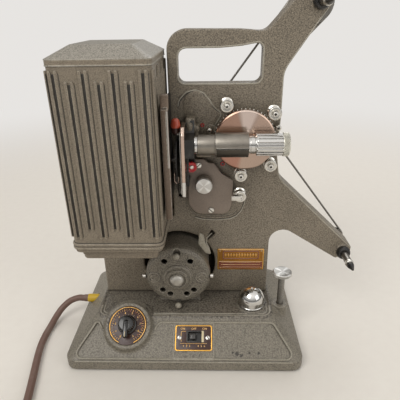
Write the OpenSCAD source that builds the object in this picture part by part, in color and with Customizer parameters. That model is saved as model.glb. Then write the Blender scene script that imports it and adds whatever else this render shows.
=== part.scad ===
// Vintage film projector on a cast base, with its lamp house, motor, gear train, reel arms and cord.
// Layout frame while drawing: x to the right along the lens, y away from the front of the base, z up.
// The finished part is shifted so that its origin is the middle of its footprint, at table level.

/* [Base] */
// Width of the base casting along x
base_w = 252; // [240:1:270]
// Depth of the base casting along y
base_d = 165; // [160:1:180]
// Front edge of the base along y, ahead of the zero line of the layout
base_y0 = -10; // [-14:1:-7]
// Height of the deck above the table
deck_h = 41; // [38:1:46]
// Height of the upright lip around the foot of the base
base_lip = 11.5; // [9:0.5:14]
// How far the deck is set in from the front of the base
deck_in_front = 37; // [34:1:40]
// How far the deck is set in from each side of the base
deck_in_side = 28.5; // [26:0.5:31]
// How far the deck is set in from the back of the base
deck_in_back = 28; // [22:1:32]
// Wall thickness of the base casting
base_wall = 4; // [3:0.5:5]
// Corner radius of the base in plan
base_corner_r = 12; // [8:1:16]
// Height of the rubber feet under the base
foot_h = 2; // [1.5:0.5:3]
// Radius of a rubber foot
foot_r = 8; // [6:0.5:9]

/* [Controls on the base] */
// Place of the speed dial along x
dial_x = -60.4; // [-66:0.2:-56]
// Radius of the dial boss
dial_boss_r = 24; // [22:0.5:26]
// Radius of the dial plate
dial_r = 20.5; // [18:0.5:21.5]
// Height of the dial boss above the slope
dial_lift = 7; // [5:0.5:9]
// Width of the switch plate
switch_w = 39.5; // [35:0.5:42]
// Length of the switch plate up the slope
switch_l = 26.5; // [23:0.5:29]
// Radius of the pilot lamp hood
hood_r = 14.8; // [12:0.2:17]
// Radius of the elevating knob
lift_knob_r = 10.7; // [9:0.1:12]
// Radius of the elevating screw
lift_screw_r = 3.6; // [2.5:0.05:4]
// Travel of the elevating foot
lift_travel = 20; // [10:1:24]

/* [Main casting] */
// Front face of the casting, behind the front edge of the base
face_y = 73; // [70:1:76]
// Thickness of the casting from front to back
case_d = 22; // [20:1:24]
// Wall thickness of the casting
case_wall = 3.5; // [3:0.5:4.5]
// Height of the shoulder that carries the lamp house
shoulder_z = 141; // [138:1:144]
// Height of the top of the carrying handle
handle_top_z = 331.5; // [326:0.5:338]
// Thickness of the handle grip
grip_t = 17; // [14:0.5:19]
// Depth of the rear cover behind the casting
cover_d = 26; // [25:0.5:28]
// Wall thickness of the rear cover
cover_wall = 2; // [1.5:0.5:2.5]

/* [Reel arms] */
// Place of the upper reel spindle along x
upper_x = 125.7; // [122:0.1:129]
// Height of the upper reel spindle
upper_z = 352; // [348:0.5:356]
// Place of the lower reel spindle along x
lower_x = 177.8; // [174:0.1:180]
// Height of the lower reel spindle
lower_z = 98; // [95:0.5:101]
// Radius of the reel spindles
spindle_r = 3.9; // [3.5:0.05:4.2]
// Length of a spindle in front of its arm
spindle_len = 38; // [30:1:42]
// Radius of the lower arm's rounded end
arm_end_r = 12; // [10.5:0.5:14]

/* [Optics] */
// Height of the optical axis
axis_z = 233; // [230:0.5:236]
// Distance of the optical axis from the front edge of the base
axis_y = 40; // [38:0.5:42]
// Radius of the lens barrel where it slides in its holder
lens_r = 8.5; // [7.5:0.1:9]
// Radius of the fluted front part of the lens
lens_front_r = 10.4; // [9:0.1:11]
// Backward travel of the lens from rest
focus_in = 3; // [1:0.5:4]
// Travel of the pressure plate when the gate opens
gate_travel = 1.8; // [1:0.1:2]

/* [Film drive] */
// Teeth on the film sprocket
sprocket_teeth = 48; // [48:1:48]
// Distance between film perforations
film_pitch = 3.81; // [3.7:0.01:3.9]
// Place of the sprocket along x
sprocket_x = 62.3; // [60:0.1:64]
// Place of the main shaft along x
main_x = 22.5; // [21:0.1:24]
// Height of the main shaft
main_z = 185; // [183:0.5:187]
// Radius of the main shaft
main_r = 2.5; // [2:0.1:2.8]
// Radius of the sprocket shaft
sprocket_shaft_r = 3; // [2.5:0.1:3.2]
// Radius of the inching knob
inching_r = 9; // [7:0.5:11]
// Module of the first gear pair and the rewind gear
first_module = 0.8; // [0.8:0.01:0.82]
// Module of the second gear pair
second_module = 0.75; // [0.75:0.01:0.77]
// Radius of a guide roller's flange
roller_r = 6.4; // [5.6:0.1:6.6]
// Gap between the sprocket teeth and a roller
film_gap = 0.6; // [0.4:0.1:1.2]
// Radius of the shutter blades
shutter_r = 34; // [33:0.5:35]

/* [Lamp house] */
// Width of the lamp house along x
lamp_w = 81; // [78:1:84]
// Depth of the lamp house along y
lamp_d = 96; // [90:1:98]
// Height of the lamp house walls
lamp_h = 158.6; // [150:0.2:166]
// Wall thickness of the lamp house
lamp_wall = 2; // [1.5:0.1:2.5]
// Height of the upright band of the cap
cap_band = 5.4; // [4:0.2:8]
// Rise of the cap's roof above its band
cap_rise = 9.2; // [7:0.2:12]
// Height that the ribs stand above the wall
rib_h = 1.2; // [0.8:0.1:1.3]
// Height that the lamp house can be lifted
lamp_lift = 140; // [120:5:160]

/* [Motor] */
// Radius of the motor's end bell
bell_r = 35.6; // [34.6:0.2:36]
// Radius of the motor frame
motor_r = 34; // [33:0.2:34]
// Place of the motor along x
motor_x = -7; // [-9:0.5:-5]
// Height of the motor shaft
motor_z = 82.2; // [81:0.2:84]
// Front face of the end bell, behind the front edge of the base
bell_y = 44; // [42:0.5:46]

/* [Power cord] */
// Diameter of the cord
cord_d = 8; // [7:0.1:8.2]
// Radius of the plug body
plug_r = 12.5; // [11.5:0.1:13]

/* [Hidden] */
$fn = 48;
fit = 0.04;
gap = 0.3;
skin = 0.02;

// Extents that set the origin
lamp_gap = 3.5;
case_left = -11;
lamp_right = case_left - lamp_gap;
lamp_left = lamp_right - lamp_w;
lamp_front = axis_y - lamp_d / 2;
belt_r = 1.2;
pulley_lip = 1.8;
upper_pulley_r = 17.3;
lower_pulley_r = 8.5;
belt_gap = 0.1;
reach_x = lower_x + lower_pulley_r + belt_gap + 2 * belt_r;
base_y1 = base_y0 + base_d;
origin_x = (reach_x - base_w / 2) / 2;
origin_y = (base_y1 + min(base_y0, lamp_front - rib_h)) / 2;

// Depth layers behind the casting's face
front_in_y = face_y + case_wall;
back_y = face_y + case_d;
plate_y = back_y + 3;
rewind_belt_y = plate_y + 3;
takeup_belt_y = plate_y + 9;
drive_belt_y = plate_y + 16;
cover_back_y = back_y + cover_d;
pulley_w = 5;
upper_shaft_end_y = rewind_belt_y + pulley_w / 2;
lower_shaft_end_y = takeup_belt_y + pulley_w / 2;
drive_shaft_end_y = drive_belt_y + pulley_w / 2;

// Gear train
pinion_teeth = 12;
idler_teeth = 72;
second_pinion_teeth = 10;
final_teeth = 80;
rewind_teeth = 38;
shutter_teeth = 40;
shutter_module = 0.9;
bevel_teeth = 16;
bevel_r = 7;
bevel_face = 3;
first_gear_y = front_in_y + 14;
second_gear_y = front_in_y + 9;
gear_w = 3;
cross_y = front_in_y + 8;
sprocket_z = axis_z;
main_at = [main_x, main_z];
sprocket_at = [sprocket_x, sprocket_z];
first_a = first_module * (pinion_teeth + idler_teeth) / 2;
second_a = second_module * (second_pinion_teeth + final_teeth) / 2;
idler_at = meet(main_at, first_a, sprocket_at, second_a);
rewind_a = first_module * (idler_teeth + rewind_teeth) / 2;
rewind_x = 29.5;
rewind_at = [rewind_x, idler_at[1] + sqrt(rewind_a * rewind_a - pow(idler_at[0] - rewind_x, 2))];
shutter_y = axis_y + 20;
shutter_a = shutter_module * shutter_teeth;
shutter_z = main_z + sqrt(shutter_a * shutter_a - pow(cross_y - shutter_y, 2));
rewind_pulley_r = 7.5;
takeup_pulley_r = 18.7;
main_pulley_r = 24;
motor_pulley_r = 7;

// Sprocket and rollers
sprocket_r = sprocket_teeth * film_pitch / (2 * PI);
sprocket_front_y = axis_y + lens_front_r + 1.6;
sprocket_w = 10;
tooth_h = 0.9;
roller_y0 = sprocket_front_y + 2;
roller_len = 12;
stud_r = 1.5;
roller_far = sprocket_r + tooth_h + film_gap + roller_r;
feed_inner_at = around(sprocket_at, roller_far, 118.5);
feed_outer_at = around(sprocket_at, roller_far, 42.5);
takeup_outer_at = around(sprocket_at, roller_far, 314.5);
takeup_inner_at = around(sprocket_at, roller_far, 265.5);
loop_at = [sprocket_x - 3, sprocket_z - 59.5];
roller_places = [feed_inner_at, feed_outer_at, takeup_outer_at, takeup_inner_at, loop_at];

// Gate planes along x
condenser_x1 = case_left + 2;
pressure_x0 = 1;
pressure_x1 = pressure_x0 + 1.1;
blade_x1 = pressure_x0 - gate_travel - 0.6;
blade_x0 = blade_x1 - 0.6;
shutter_gear_x1 = blade_x0 - 0.4;
shutter_gear_x0 = shutter_gear_x1 - 2.3;
aperture_x0 = pressure_x1 + 0.4;
aperture_x1 = aperture_x0 + 3.5;
block_x1 = aperture_x1 + 8;
holder_x0 = block_x1 + 1;
holder_step_x = holder_x0 + 18.5;
holder_x1 = holder_step_x + 30.7;
barrel_x0 = holder_x1 + focus_in + 3.5;
barrel_x1 = barrel_x0 + 25.3;
ring_x1 = barrel_x1 + 5.5;
aperture_z0 = axis_z - 47.5;
aperture_z1 = axis_z + 19;
pressure_z0 = axis_z - 47;
pressure_z1 = axis_z + 14;
gate_knob_z1 = axis_z + 26;
condenser_y0 = axis_y - 36;
condenser_z0 = axis_z - 59;
condenser_z1 = axis_z + 42;
holder_r = 10.8;
holder_rear_r = 9.8;

// Base slope
slope_run = deck_in_front;
slope_rise = deck_h - foot_h - base_lip;
slope_angle = atan2(slope_rise, slope_run);
slope_len = sqrt(slope_run * slope_run + slope_rise * slope_rise);
slope_z0 = foot_h + base_lip;
dial_t = 35.8;
switch_x = 10.6;
switch_t = 24;
pad_w = switch_w + 3.5;
lift_boss_r = 9;
lift_top_z = deck_h + lift_travel + 22;
lift_knob_h = 4.3;
cord_y = 81;
cord_z = 24;
deck_x1 = base_w / 2 - deck_in_side;
deck_y0 = base_y0 + deck_in_front;
pilot_at = [deck_x1 - 22.5, deck_y0 + 21];
lift_at = [deck_x1 + 11, deck_y0 + 27];
deck_y1 = base_y1 - deck_in_back;
motor_open_r = 41;
saddle_x0 = motor_x - 23;
saddle_x1 = motor_x + 23;
saddle_y0 = bell_y + 14;
saddle_y1 = back_y + 3;

// Basic shapes
module rod_x(y, z, x0, x1, r) {
    translate([x0, y, z]) rotate([0, 90, 0]) cylinder(r = r, h = x1 - x0);
}
module rod_y(x, z, y0, y1, r) {
    translate([x, y1, z]) rotate([90, 0, 0]) cylinder(r = r, h = y1 - y0);
}
module rod_z(x, y, z0, z1, r) {
    translate([x, y, z0]) cylinder(r = r, h = z1 - z0);
}
module block(x0, x1, y0, y1, z0, z1) {
    translate([x0, y0, z0]) cube([x1 - x0, y1 - y0, z1 - z0]);
}
module slab_y(pts, y0, y1) {
    translate([0, y1, 0]) rotate([90, 0, 0]) linear_extrude(y1 - y0) polygon(pts);
}
module slab_x(pts, x0, x1) {
    translate([x0, 0, 0]) rotate([90, 0, 90]) linear_extrude(x1 - x0) polygon(pts);
}
module place() {
    translate([-origin_x, -origin_y, 0]) children();
}
// Moves into the frame of the front slope: x across, y up the slope, z out of it
module on_slope(x, t) {
    translate([x, base_y0, slope_z0]) rotate([slope_angle, 0, 0]) translate([0, t, 0]) children();
}

// Plane geometry
function unit(v) = v / norm(v);
function around(c, r, a) = [c[0] + r * cos(a), c[1] + r * sin(a)];
function angle_to(a, b) = atan2(b[1] - a[1], b[0] - a[0]);
// The point at distance ra from a and rb from b, on the right of the way from a to b
function meet(a, ra, b, rb) =
    let (d = norm(b - a), u = (b - a) / d, along = (ra * ra - rb * rb + d * d) / (2 * d))
    a + along * u + sqrt(ra * ra - along * along) * [u[1], -u[0]];
function wrap(a) = a > 180 ? a - 360 : (a < -180 ? a + 360 : a);
// One corner [x, y, r] of an outline as the points of its arc
function corner(p, c, q) =
    c[2] < 0.01 ? [[c[0], c[1]]] :
    let (
        at = [c[0], c[1]],
        u = unit([p[0], p[1]] - at),
        v = unit([q[0], q[1]] - at),
        half = acos(max(-1, min(1, u * v))) / 2,
        reach = min(c[2] / tan(half), 0.48 * norm([p[0], p[1]] - at), 0.48 * norm([q[0], q[1]] - at)),
        r = reach * tan(half),
        m = at + unit(u + v) * r / sin(half),
        a0 = angle_to(m, at + u * reach),
        turn = wrap(angle_to(m, at + v * reach) - a0),
        n = max(2, ceil(abs(turn) / 12))
    ) [for (i = [0 : n]) around(m, r, a0 + turn * i / n)];
function rounded(cs) = [
    for (i = [0 : len(cs) - 1])
        each corner(cs[(i + len(cs) - 1) % len(cs)], cs[i], cs[(i + 1) % len(cs)])
];
// The corners of an anticlockwise outline moved inwards by d
function inset(cs, d) = [
    for (i = [0 : len(cs) - 1])
        let (
            n = len(cs),
            at = [cs[i][0], cs[i][1]],
            e = unit(at - [cs[(i + n - 1) % n][0], cs[(i + n - 1) % n][1]]),
            g = unit([cs[(i + 1) % n][0], cs[(i + 1) % n][1]] - at),
            a = [-e[1], e[0]],
            b = [-g[1], g[0]],
            p = at + d * (a + b) / (1 + a * b),
            convex = e[0] * g[1] - e[1] * g[0] > 0
        ) [p[0], p[1], max(0.5, cs[i][2] + (convex ? -d : d))]
];
function rect(x0, x1, y0, y1, r) = [[x0, y0, r], [x1, y0, r], [x1, y1, r], [x0, y1, r]];

// Outlines of the casting, as corners [x, z, r], anticlockwise from the lower left
pedestal_left = -95;
pedestal_right = 94.6;
waist_x = 96.8;
edge_x = 98.5;
under_far = [lower_x - 7.2, lower_z - 10.6];
over_far = [lower_x + 8, lower_z + 7.8];
tip_low = [lower_x - 7, lower_z - 0.82 * arm_end_r];
case_corners = [
    [pedestal_left, deck_h, 0], [pedestal_right, deck_h, 0], [pedestal_right, 137, 15],
    [tip_low[0], tip_low[1], 2], [lower_x + 9, lower_z - 8, 6], [lower_x + 9.5, lower_z + 5, 4],
    [101, 186.5, 25], [waist_x, 215, 40], [edge_x, 250, 40], [edge_x, 294.8, 25],
    [upper_x + 17, upper_z + 7, 12], [upper_x - 8, upper_z + 17.5, 12], [80.5, 328.5, 12],
    [58, handle_top_z - 1, 30], [case_left, handle_top_z, 18], [case_left, shoulder_z, 4],
    [pedestal_left, shoulder_z, 5]
];
handle_z0 = 282.5;
works_x0 = main_x - 14.5;
works_x1 = sprocket_x + 27.7;
works_z0 = main_z - 31;
works_z1 = sprocket_z + 36;
handle_corners = [
    [-1.5, handle_z0, 7], [78.5, handle_z0, 7], [78.8, handle_top_z - grip_t + 5, 6],
    [58, handle_top_z - grip_t + 1.5, 12], [38, handle_top_z - grip_t, 20], [-1.5, handle_top_z - grip_t, 9]
];
cover_corners = [
    [pedestal_left + 2, deck_h + 1, 3], [pedestal_right - 2, deck_h + 1, 3], [pedestal_right - 2, 150, 6],
    [94.5, 200, 10], [94.5, 272, 10], [case_left + 1, 272, 10], [case_left + 1, shoulder_z + 29, 12],
    [case_left - 22, shoulder_z - 2, 12], [pedestal_left + 2, shoulder_z - 2, 8]
];
pear_corners = [
    [6.2, 210.1, 4], [5.6, 160, 12], [14, 148.6, 12], [49, 148.2, 10], [53, 168, 14], [52.4, 187, 4],
    [40.5, 194.6, 3], [32.8, 206, 2], [27.2, 206.3, 2], [22.5, 210.3, 3]
];

// Gears, pulleys and belts
function gear_points(n, m) =
    let (rr = m * n / 2 - 1.1 * m, rt = m * n / 2 + 0.7 * m, p = 360 / n)
    [for (i = [0 : n - 1], k = [[rr, -0.25], [rt, -0.09], [rt, 0.09], [rr, 0.25]])
        [k[0] * cos((i + k[1]) * p), k[0] * sin((i + k[1]) * p)]];
module gear_y(at, y0, y1, n, m, turn) {
    translate([at[0], y1, at[1]]) rotate([90, 0, 0]) rotate([0, 0, turn])
        linear_extrude(y1 - y0) polygon(gear_points(n, m));
}
module gear_x(at, x0, x1, n, m, turn) {
    translate([x0, at[0], at[1]]) rotate([90, 0, 90]) rotate([0, 0, turn])
        linear_extrude(x1 - x0) polygon(gear_points(n, m));
}
// A grooved pulley about the y axis, its belt seat at radius r
module pulley_y(at, y, r, lip) {
    translate([at[0], y, at[1]]) rotate([90, 0, 0]) rotate_extrude($fn = 64)
        polygon([[0, -pulley_w / 2], [r + lip, -pulley_w / 2], [r + lip, -belt_r - 0.9], [r, -belt_r - 0.3],
            [r, belt_r + 0.3], [r + lip, belt_r + 0.9], [r + lip, pulley_w / 2], [0, pulley_w / 2]]);
}
// Outline of a belt's path round two circles
function belt_points(a, ra, b, rb, n = 24) =
    let (d = norm(b - a), u = angle_to(a, b), s = acos((ra - rb) / d))
    concat(
        [for (i = [0 : n]) around(a, ra, u + s + (360 - 2 * s) * i / n)],
        [for (i = [0 : n]) around(b, rb, u - s + 2 * s * i / n)]
    );
module belt_y(a, ra, b, rb, y) {
    translate([0, y + belt_r, 0]) rotate([90, 0, 0]) linear_extrude(2 * belt_r) difference() {
        polygon(belt_points(a, ra + belt_gap + 2 * belt_r, b, rb + belt_gap + 2 * belt_r));
        polygon(belt_points(a, ra + belt_gap, b, rb + belt_gap));
    }
}
// Teeth of a small bevel gear, as ribs along its cone, which narrows along +z
module bevel(turn) {
    cylinder(r1 = bevel_r - 0.7, r2 = bevel_r - bevel_face - 0.7, h = bevel_face);
    for (i = [0 : bevel_teeth - 1])
        rotate([0, 0, turn + 360 * i / bevel_teeth]) translate([bevel_r, 0, 0]) rotate([0, -45, 0])
            translate([-1.4, -0.45, 0.2]) cube([1.7, 0.9, 2.4]);
}
module slotted_head(r, h) {
    difference() {
        cylinder(r = r, h = h, $fn = 32);
        translate([-r, -0.4, h - 0.7]) cube([2 * r, 0.8, 1]);
    }
}

// Phases that bring the teeth into mesh
turn_mi = angle_to(main_at, idler_at);
turn_is = angle_to(idler_at, sprocket_at);
turn_ir = angle_to(idler_at, rewind_at);
idler_turn = turn_mi + 180 + 180 / idler_teeth;
rewind_phase = (turn_ir - idler_turn) * idler_teeth / 360;
rewind_turn = turn_ir + 180 + (rewind_phase - floor(rewind_phase) + 0.5) * 360 / rewind_teeth;
cross_at = [cross_y, main_z];
shutter_at = [shutter_y, shutter_z];
turn_cs = angle_to(cross_at, shutter_at);

// Base group
module base_outline(d, z0, z1, x1, y0, y1) {
    r = max(2, base_corner_r - d);
    hull() {
        for (x = [-base_w / 2 + d + r, base_w / 2 - d - r], y = [base_y0 + d + r, base_y1 - d - r])
            rod_z(x, y, z0, foot_h + base_lip, r, $fn = 32);
        for (x = [-x1 + r, x1 - r], y = [y0 + r, y1 - r])
            rod_z(x, y, z1 - 0.2, z1, r, $fn = 32);
    }
}
module base_casting() {
    color("dimgray") place() difference() {
        union() {
            difference() {
                base_outline(0, foot_h, deck_h, deck_x1, deck_y0, deck_y1);
                base_outline(base_wall, foot_h - 1, deck_h - base_wall, deck_x1 - base_wall,
                    deck_y0 + base_wall, deck_y1 - base_wall);
            }
            deck_bead();
            on_slope(dial_x, dial_t) translate([0, 0, -16])
                cylinder(r = dial_boss_r, h = 16 + dial_lift, $fn = 72);
            on_slope(switch_x, switch_t) translate([0, 0, -2]) linear_extrude(3.2)
                polygon(rounded(rect(-pad_w / 2, pad_w / 2, 1.5 - switch_t, switch_l / 2 + 2.3, 2)));
            rod_z(lift_at[0], lift_at[1], foot_h, deck_h - 1, lift_boss_r);
            block(lift_at[0] - 14, lift_at[0], lift_at[1] - 3, lift_at[1] + 3, deck_h - 14, deck_h - 3);
            rod_z(pilot_at[0], pilot_at[1], deck_h - 1, deck_h + 2.6, hood_r + 1);
            motor_saddle();
            for (p = base_screw_places) rod_z(p[0], p[1], foot_h + 3, deck_h - 2, 5);
        }
        on_slope(dial_x, dial_t) {
            translate([0, 0, -16]) cylinder(r = dial_boss_r - 5.5, h = 16 + dial_lift - 3);
            translate([0, 0, dial_lift - 1]) cylinder(r = dial_r + 0.3, h = 2, $fn = 72);
            translate([0, 0, -1]) cylinder(r = 4.1, h = dial_lift + 2);
        }
        on_slope(switch_x, switch_t) translate([-14.5, -8.5, -8]) cube([29, 17, 12]);
        rod_z(lift_at[0], lift_at[1], foot_h - 1, deck_h, lift_screw_r + fit);
        rod_z(lift_at[0], lift_at[1], foot_h - 1, foot_h + 9, 7.6);
        rod_z(pilot_at[0], pilot_at[1], deck_h - 6, deck_h + 3, 7.1);
        rod_x(cord_y, cord_z, -base_w / 2, -deck_x1 + 5, 5.3);
        rod_y(motor_x, motor_z, saddle_y0 - 1, saddle_y1 + 1, motor_r + 0.05);
        for (p = base_screw_places) rod_z(p[0], p[1], foot_h, foot_h + 12, 1.6);
    }
}
module deck_bead() {
    translate([0, 0, deck_h - 0.5]) linear_extrude(1.6) difference() {
        polygon(rounded(inset(rect(-deck_x1, deck_x1, deck_y0, deck_y1, base_corner_r), 0.2)));
        polygon(rounded(inset(rect(-deck_x1, deck_x1, deck_y0, deck_y1, base_corner_r), 2.4)));
    }
}
module motor_saddle() {
    block(saddle_x0, saddle_x1, saddle_y0, saddle_y1, deck_h - 2, motor_z - motor_r + 6);
}
module bottom_plate() {
    color("gray") place() difference() {
        translate([0, 0, foot_h]) linear_extrude(2.7)
            polygon(rounded(rect(-base_w / 2 + base_wall + 1, base_w / 2 - base_wall - 1,
                base_y0 + base_wall + 1, base_y1 - base_wall - 1, base_corner_r - 5)));
        rod_z(lift_at[0], lift_at[1], 0, 10, lift_boss_r + 0.4);
        for (p = base_screw_places) rod_z(p[0], p[1], 0, 10, 1.7);
        for (x = [-40 : 16 : 40])
            block(x, x + 8, 60, 100, 0, 10);
    }
}
module rubber_feet() {
    color("black") place() for (x = [-1, 1], y = [base_y0 + 16, base_y1 - 16])
        rod_z(x * (base_w / 2 - 18), y, 0, foot_h, foot_r);
}
// Where the bottom plate's screws stand, as [x, y]
base_screw_places = [for (x = [-1, 1], y = [deck_y0 + 13, deck_y1 - 13]) [x * (deck_x1 - 9.5), y]];
// Where the cover screws stand, as [x, z]
cover_screw_places = [
    [pedestal_left + 9, deck_h + 9], [pedestal_right - 8.6, deck_h + 9], [pedestal_left + 9, shoulder_z - 10],
    [works_x1 - 4, works_z1 - 7], [case_left + 8, works_z1 - 5]
];
// Where the screws of the mechanism's front cover stand, as [x, z]
pear_screw_places = [[17.2, 204], [29.8, 153]];
module slotted_screws() {
    color("silver") place() {
        for (p = base_screw_places)
            translate([p[0], p[1], foot_h]) rotate([180, 0, 0]) {
                slotted_head(3.2, 1.5);
                translate([0, 0, -8]) cylinder(r = 1.5, h = 8.2);
            }
        for (x = [-15, 15]) on_slope(switch_x + x, switch_t) translate([0, 0, 2.25]) slotted_head(2.2, 1.2);
        for (p = cover_screw_places) {
            translate([p[0], cover_back_y, p[1]]) rotate([-90, 0, 0]) slotted_head(3, 1.6);
            rod_y(p[0], p[1], back_y - 6, cover_back_y + 0.2, 1.5);
        }
        for (p = pear_screw_places) {
            translate([p[0], face_y - 7, p[1]]) rotate([90, 20, 0]) slotted_head(3, 1.3);
            rod_y(p[0], p[1], face_y - 7.2, front_in_y - 1, 1.1);
        }
        for (s = [-1, 1])
            translate([motor_x + s * (bell_r + skin), bell_y + 4, motor_z - 1]) rotate([0, s * 90, 0])
                cylinder(r = 2.6, h = 3.2);
    }
}
module control_plates() {
    color("goldenrod") place() {
        on_slope(dial_x, dial_t) translate([0, 0, dial_lift - 1]) difference() {
            cylinder(r = dial_r, h = 1.2, $fn = 72);
            translate([0, 0, -1]) cylinder(r = 4.2, h = 4);
        }
        on_slope(switch_x, switch_t) translate([0, 0, 1.25]) difference() {
            translate([-switch_w / 2, -switch_l / 2, 0]) linear_extrude(1)
                polygon(rounded(rect(0, switch_w, 0, switch_l, 2)));
            translate([-6, -3.4, -1]) cube([14.4, 9.6, 4]);
        }
    }
}
module rheostat() {
    color("saddlebrown") place() on_slope(dial_x, dial_t) difference() {
        union() {
            translate([0, 0, dial_lift - 19]) cylinder(r = dial_boss_r - 6.2, h = 15.8);
            translate([0, 0, dial_lift - 5]) cylinder(r = 4, h = 5.6);
        }
        translate([0, 0, dial_lift - 14]) cylinder(r = 3 + fit, h = 20);
    }
}
module speed_knob() {
    color("black") place() on_slope(dial_x, dial_t) {
        translate([0, 0, dial_lift - 13.5]) cylinder(r = 3, h = 15);
        translate([0, 0, dial_lift + 0.9]) {
            cylinder(r = 10, h = 3);
            cylinder(r = 8.2, h = 11);
            translate([-2.6, -14.5, 3.5]) cube([5.2, 18, 8.5]);
        }
    }
}
module switch_block() {
    color("darkslategray") place() on_slope(switch_x, switch_t) difference() {
        translate([-14, -8, -13]) cube([28, 16, 14.2]);
        translate([-6, -3.4, -3]) cube([14.4, 9.6, 5]);
    }
}
module switch_slider() {
    color("black") place() on_slope(switch_x, switch_t) translate([-5.6, -3, -2.7]) {
        translate([0, 0.3, 0]) cube([9.2, 8.2, 3.6]);
        translate([1.6, 1.2, 0]) cube([6, 6.2, 7.4]);
    }
}
module pilot_lamp() {
    color("ivory") place() {
        rod_z(pilot_at[0], pilot_at[1], deck_h - 14, deck_h + 4, 7);
        rod_z(pilot_at[0], pilot_at[1], deck_h + 3.9, deck_h + 10, 4.6);
        translate([pilot_at[0], pilot_at[1], deck_h + 13]) sphere(r = 5.5);
    }
}
module pilot_hood() {
    dome_z = 6.6;
    inner_r = hood_r - 1.4;
    color("white") place() translate([pilot_at[0], pilot_at[1], deck_h + 2.9]) {
        difference() {
            rotate_extrude($fn = 64) polygon(concat(
                [[inner_r, 0], [hood_r, 0]],
                [for (a = [0 : 9 : 81]) [hood_r * cos(a), dome_z + hood_r * sin(a)]],
                [[1.6, dome_z + hood_r - 0.1], [1.6, dome_z + hood_r + 1], [0, dome_z + hood_r + 1]],
                [for (a = [90 : -9 : 0]) [inner_r * cos(a), dome_z + inner_r * sin(a)]]
            ));
            translate([0, 0, 3.3]) rotate([-90, 0, 0]) cylinder(r = 2, h = 30, $fn = 32);
        }
    }
}
module elevating_foot() {
    color("black") place() difference() {
        rod_z(lift_at[0], lift_at[1], foot_h + 0.5, foot_h + 8, 7);
        rod_z(lift_at[0], lift_at[1], foot_h + 3, foot_h + 9, 2 + fit);
    }
}
module elevating_screw() {
    color("silver") place() {
        rod_z(lift_at[0], lift_at[1], foot_h + 3.5, foot_h + 9, 2);
        rod_z(lift_at[0], lift_at[1], foot_h + 8.5, lift_top_z - lift_knob_h + 1, lift_screw_r);
        rod_z(lift_at[0], lift_at[1], lift_top_z - lift_knob_h - 3, lift_top_z - lift_knob_h + 1, 5);
        rod_z(lift_at[0], lift_at[1], lift_top_z - lift_knob_h, lift_top_z, lift_knob_r);
    }
}

// Cord group
sleeve_x0 = -base_w / 2 - 2;
cord_sides = 8;
// Route of the free cord from the sleeve to the coil, in the layout frame
cord_route = [
    [-136, 81, 24], [-146, 79, 21], [-155, 73, 15], [-161, 64, 8.5], [-164, 52, 4.5], [-165, 38, 4],
    [-164, 20, 4], [-160, -2, 4], [-155, -25, 4], [-150, -50, 4], [-146, -76, 4], [-144, -102, 4]
];
coil_at = [-88, -130];
coil_r_out = 56;
coil_step = 8.6;
coil_turns = 2.625;
coil_rings = 24;
layer_h = 8.6;
plug_z = cord_d / 2 + layer_h;
function mix(a, b, t) = a * (1 - t) + b * t;
function bend(p, q, r, s, t) =
    0.5 * (2 * q + (r - p) * t + (2 * p - 5 * q + 4 * r - s) * t * t + (3 * q - p - 3 * r + s) * t * t * t);
function smooth(pts, n) = [
    for (i = [0 : len(pts) - 2], k = [0 : n - 1])
        bend(pts[max(0, i - 1)], pts[i], pts[i + 1], pts[min(len(pts) - 1, i + 2)], k / n),
    pts[len(pts) - 1]
];
// Sideways and upward directions of the tube at a point
function heading(path, i) = unit(path[min(len(path) - 1, i + 1)] - path[max(0, i - 1)]);
function side_of(h) = unit(cross([0, 0, 1], h));
module tube(path, r, sides) {
    n = len(path);
    points = [
        for (i = [0 : n - 1]) let (h = heading(path, i), s = side_of(h), u = cross(h, s))
            for (k = [0 : sides - 1])
                path[i] + r * (cos(360 * (k + 0.5) / sides) * s + sin(360 * (k + 0.5) / sides) * u)
    ];
    faces = concat(
        [[for (k = [0 : sides - 1]) k]],
        [for (i = [0 : n - 2], k = [0 : sides - 1])
            let (a = i * sides + k, b = i * sides + (k + 1) % sides) [a, a + sides, b]],
        [for (i = [0 : n - 2], k = [0 : sides - 1])
            let (a = i * sides + k, b = i * sides + (k + 1) % sides) [b, a + sides, b + sides]],
        [[for (k = [sides - 1 : -1 : 0]) (n - 1) * sides + k]]
    );
    polyhedron(points, faces);
}
// The coil winds inwards on the table, climbs in half a turn and winds outwards on top
coil_count = round(2 * coil_turns * coil_rings);
climb_half = 0.25;
function coil_radius(t) = coil_r_out - coil_step * min(t, 2 * coil_turns - t);
function coil_height(t) =
    let (k = (t - coil_turns + climb_half) / (2 * climb_half), s = max(0, min(1, k)))
    cord_d / 2 + layer_h * s * s * (3 - 2 * s);
function coil_point(t) =
    let (a = 180 + 360 * t, r = coil_radius(t))
    [coil_at[0] + r * cos(a), coil_at[1] + r * sin(a), coil_height(t)];
coil_spiral = [for (i = [0 : coil_count]) coil_point(i / coil_rings)];
coil_start = coil_spiral[0];
coil_end = coil_spiral[coil_count];
coil_tail = 4 * cord_d;
coil_path = concat(
    [coil_start + [0, cord_d, 0], coil_start + [0, cord_d / 2, 0]], coil_spiral,
    [for (d = [cord_d / 2, cord_d, 2 * cord_d, 3 * cord_d, coil_tail]) coil_end + [d, 0, 0]]
);
// The free cord leaves its sleeve and meets the coil on straight ends, square to both
free_path = concat(
    [[sleeve_x0, cord_y, cord_z], [sleeve_x0 - 3, cord_y, cord_z]], smooth(cord_route, 4),
    [coil_start + [0, cord_d + 4, 0], coil_start + [0, cord_d, 0]]
);
function path_length(p) = [for (i = 1, s = 0; i < len(p); s = s + norm(p[i] - p[i - 1]), i = i + 1)
    s + norm(p[i] - p[i - 1])][len(p) - 2];
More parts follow.
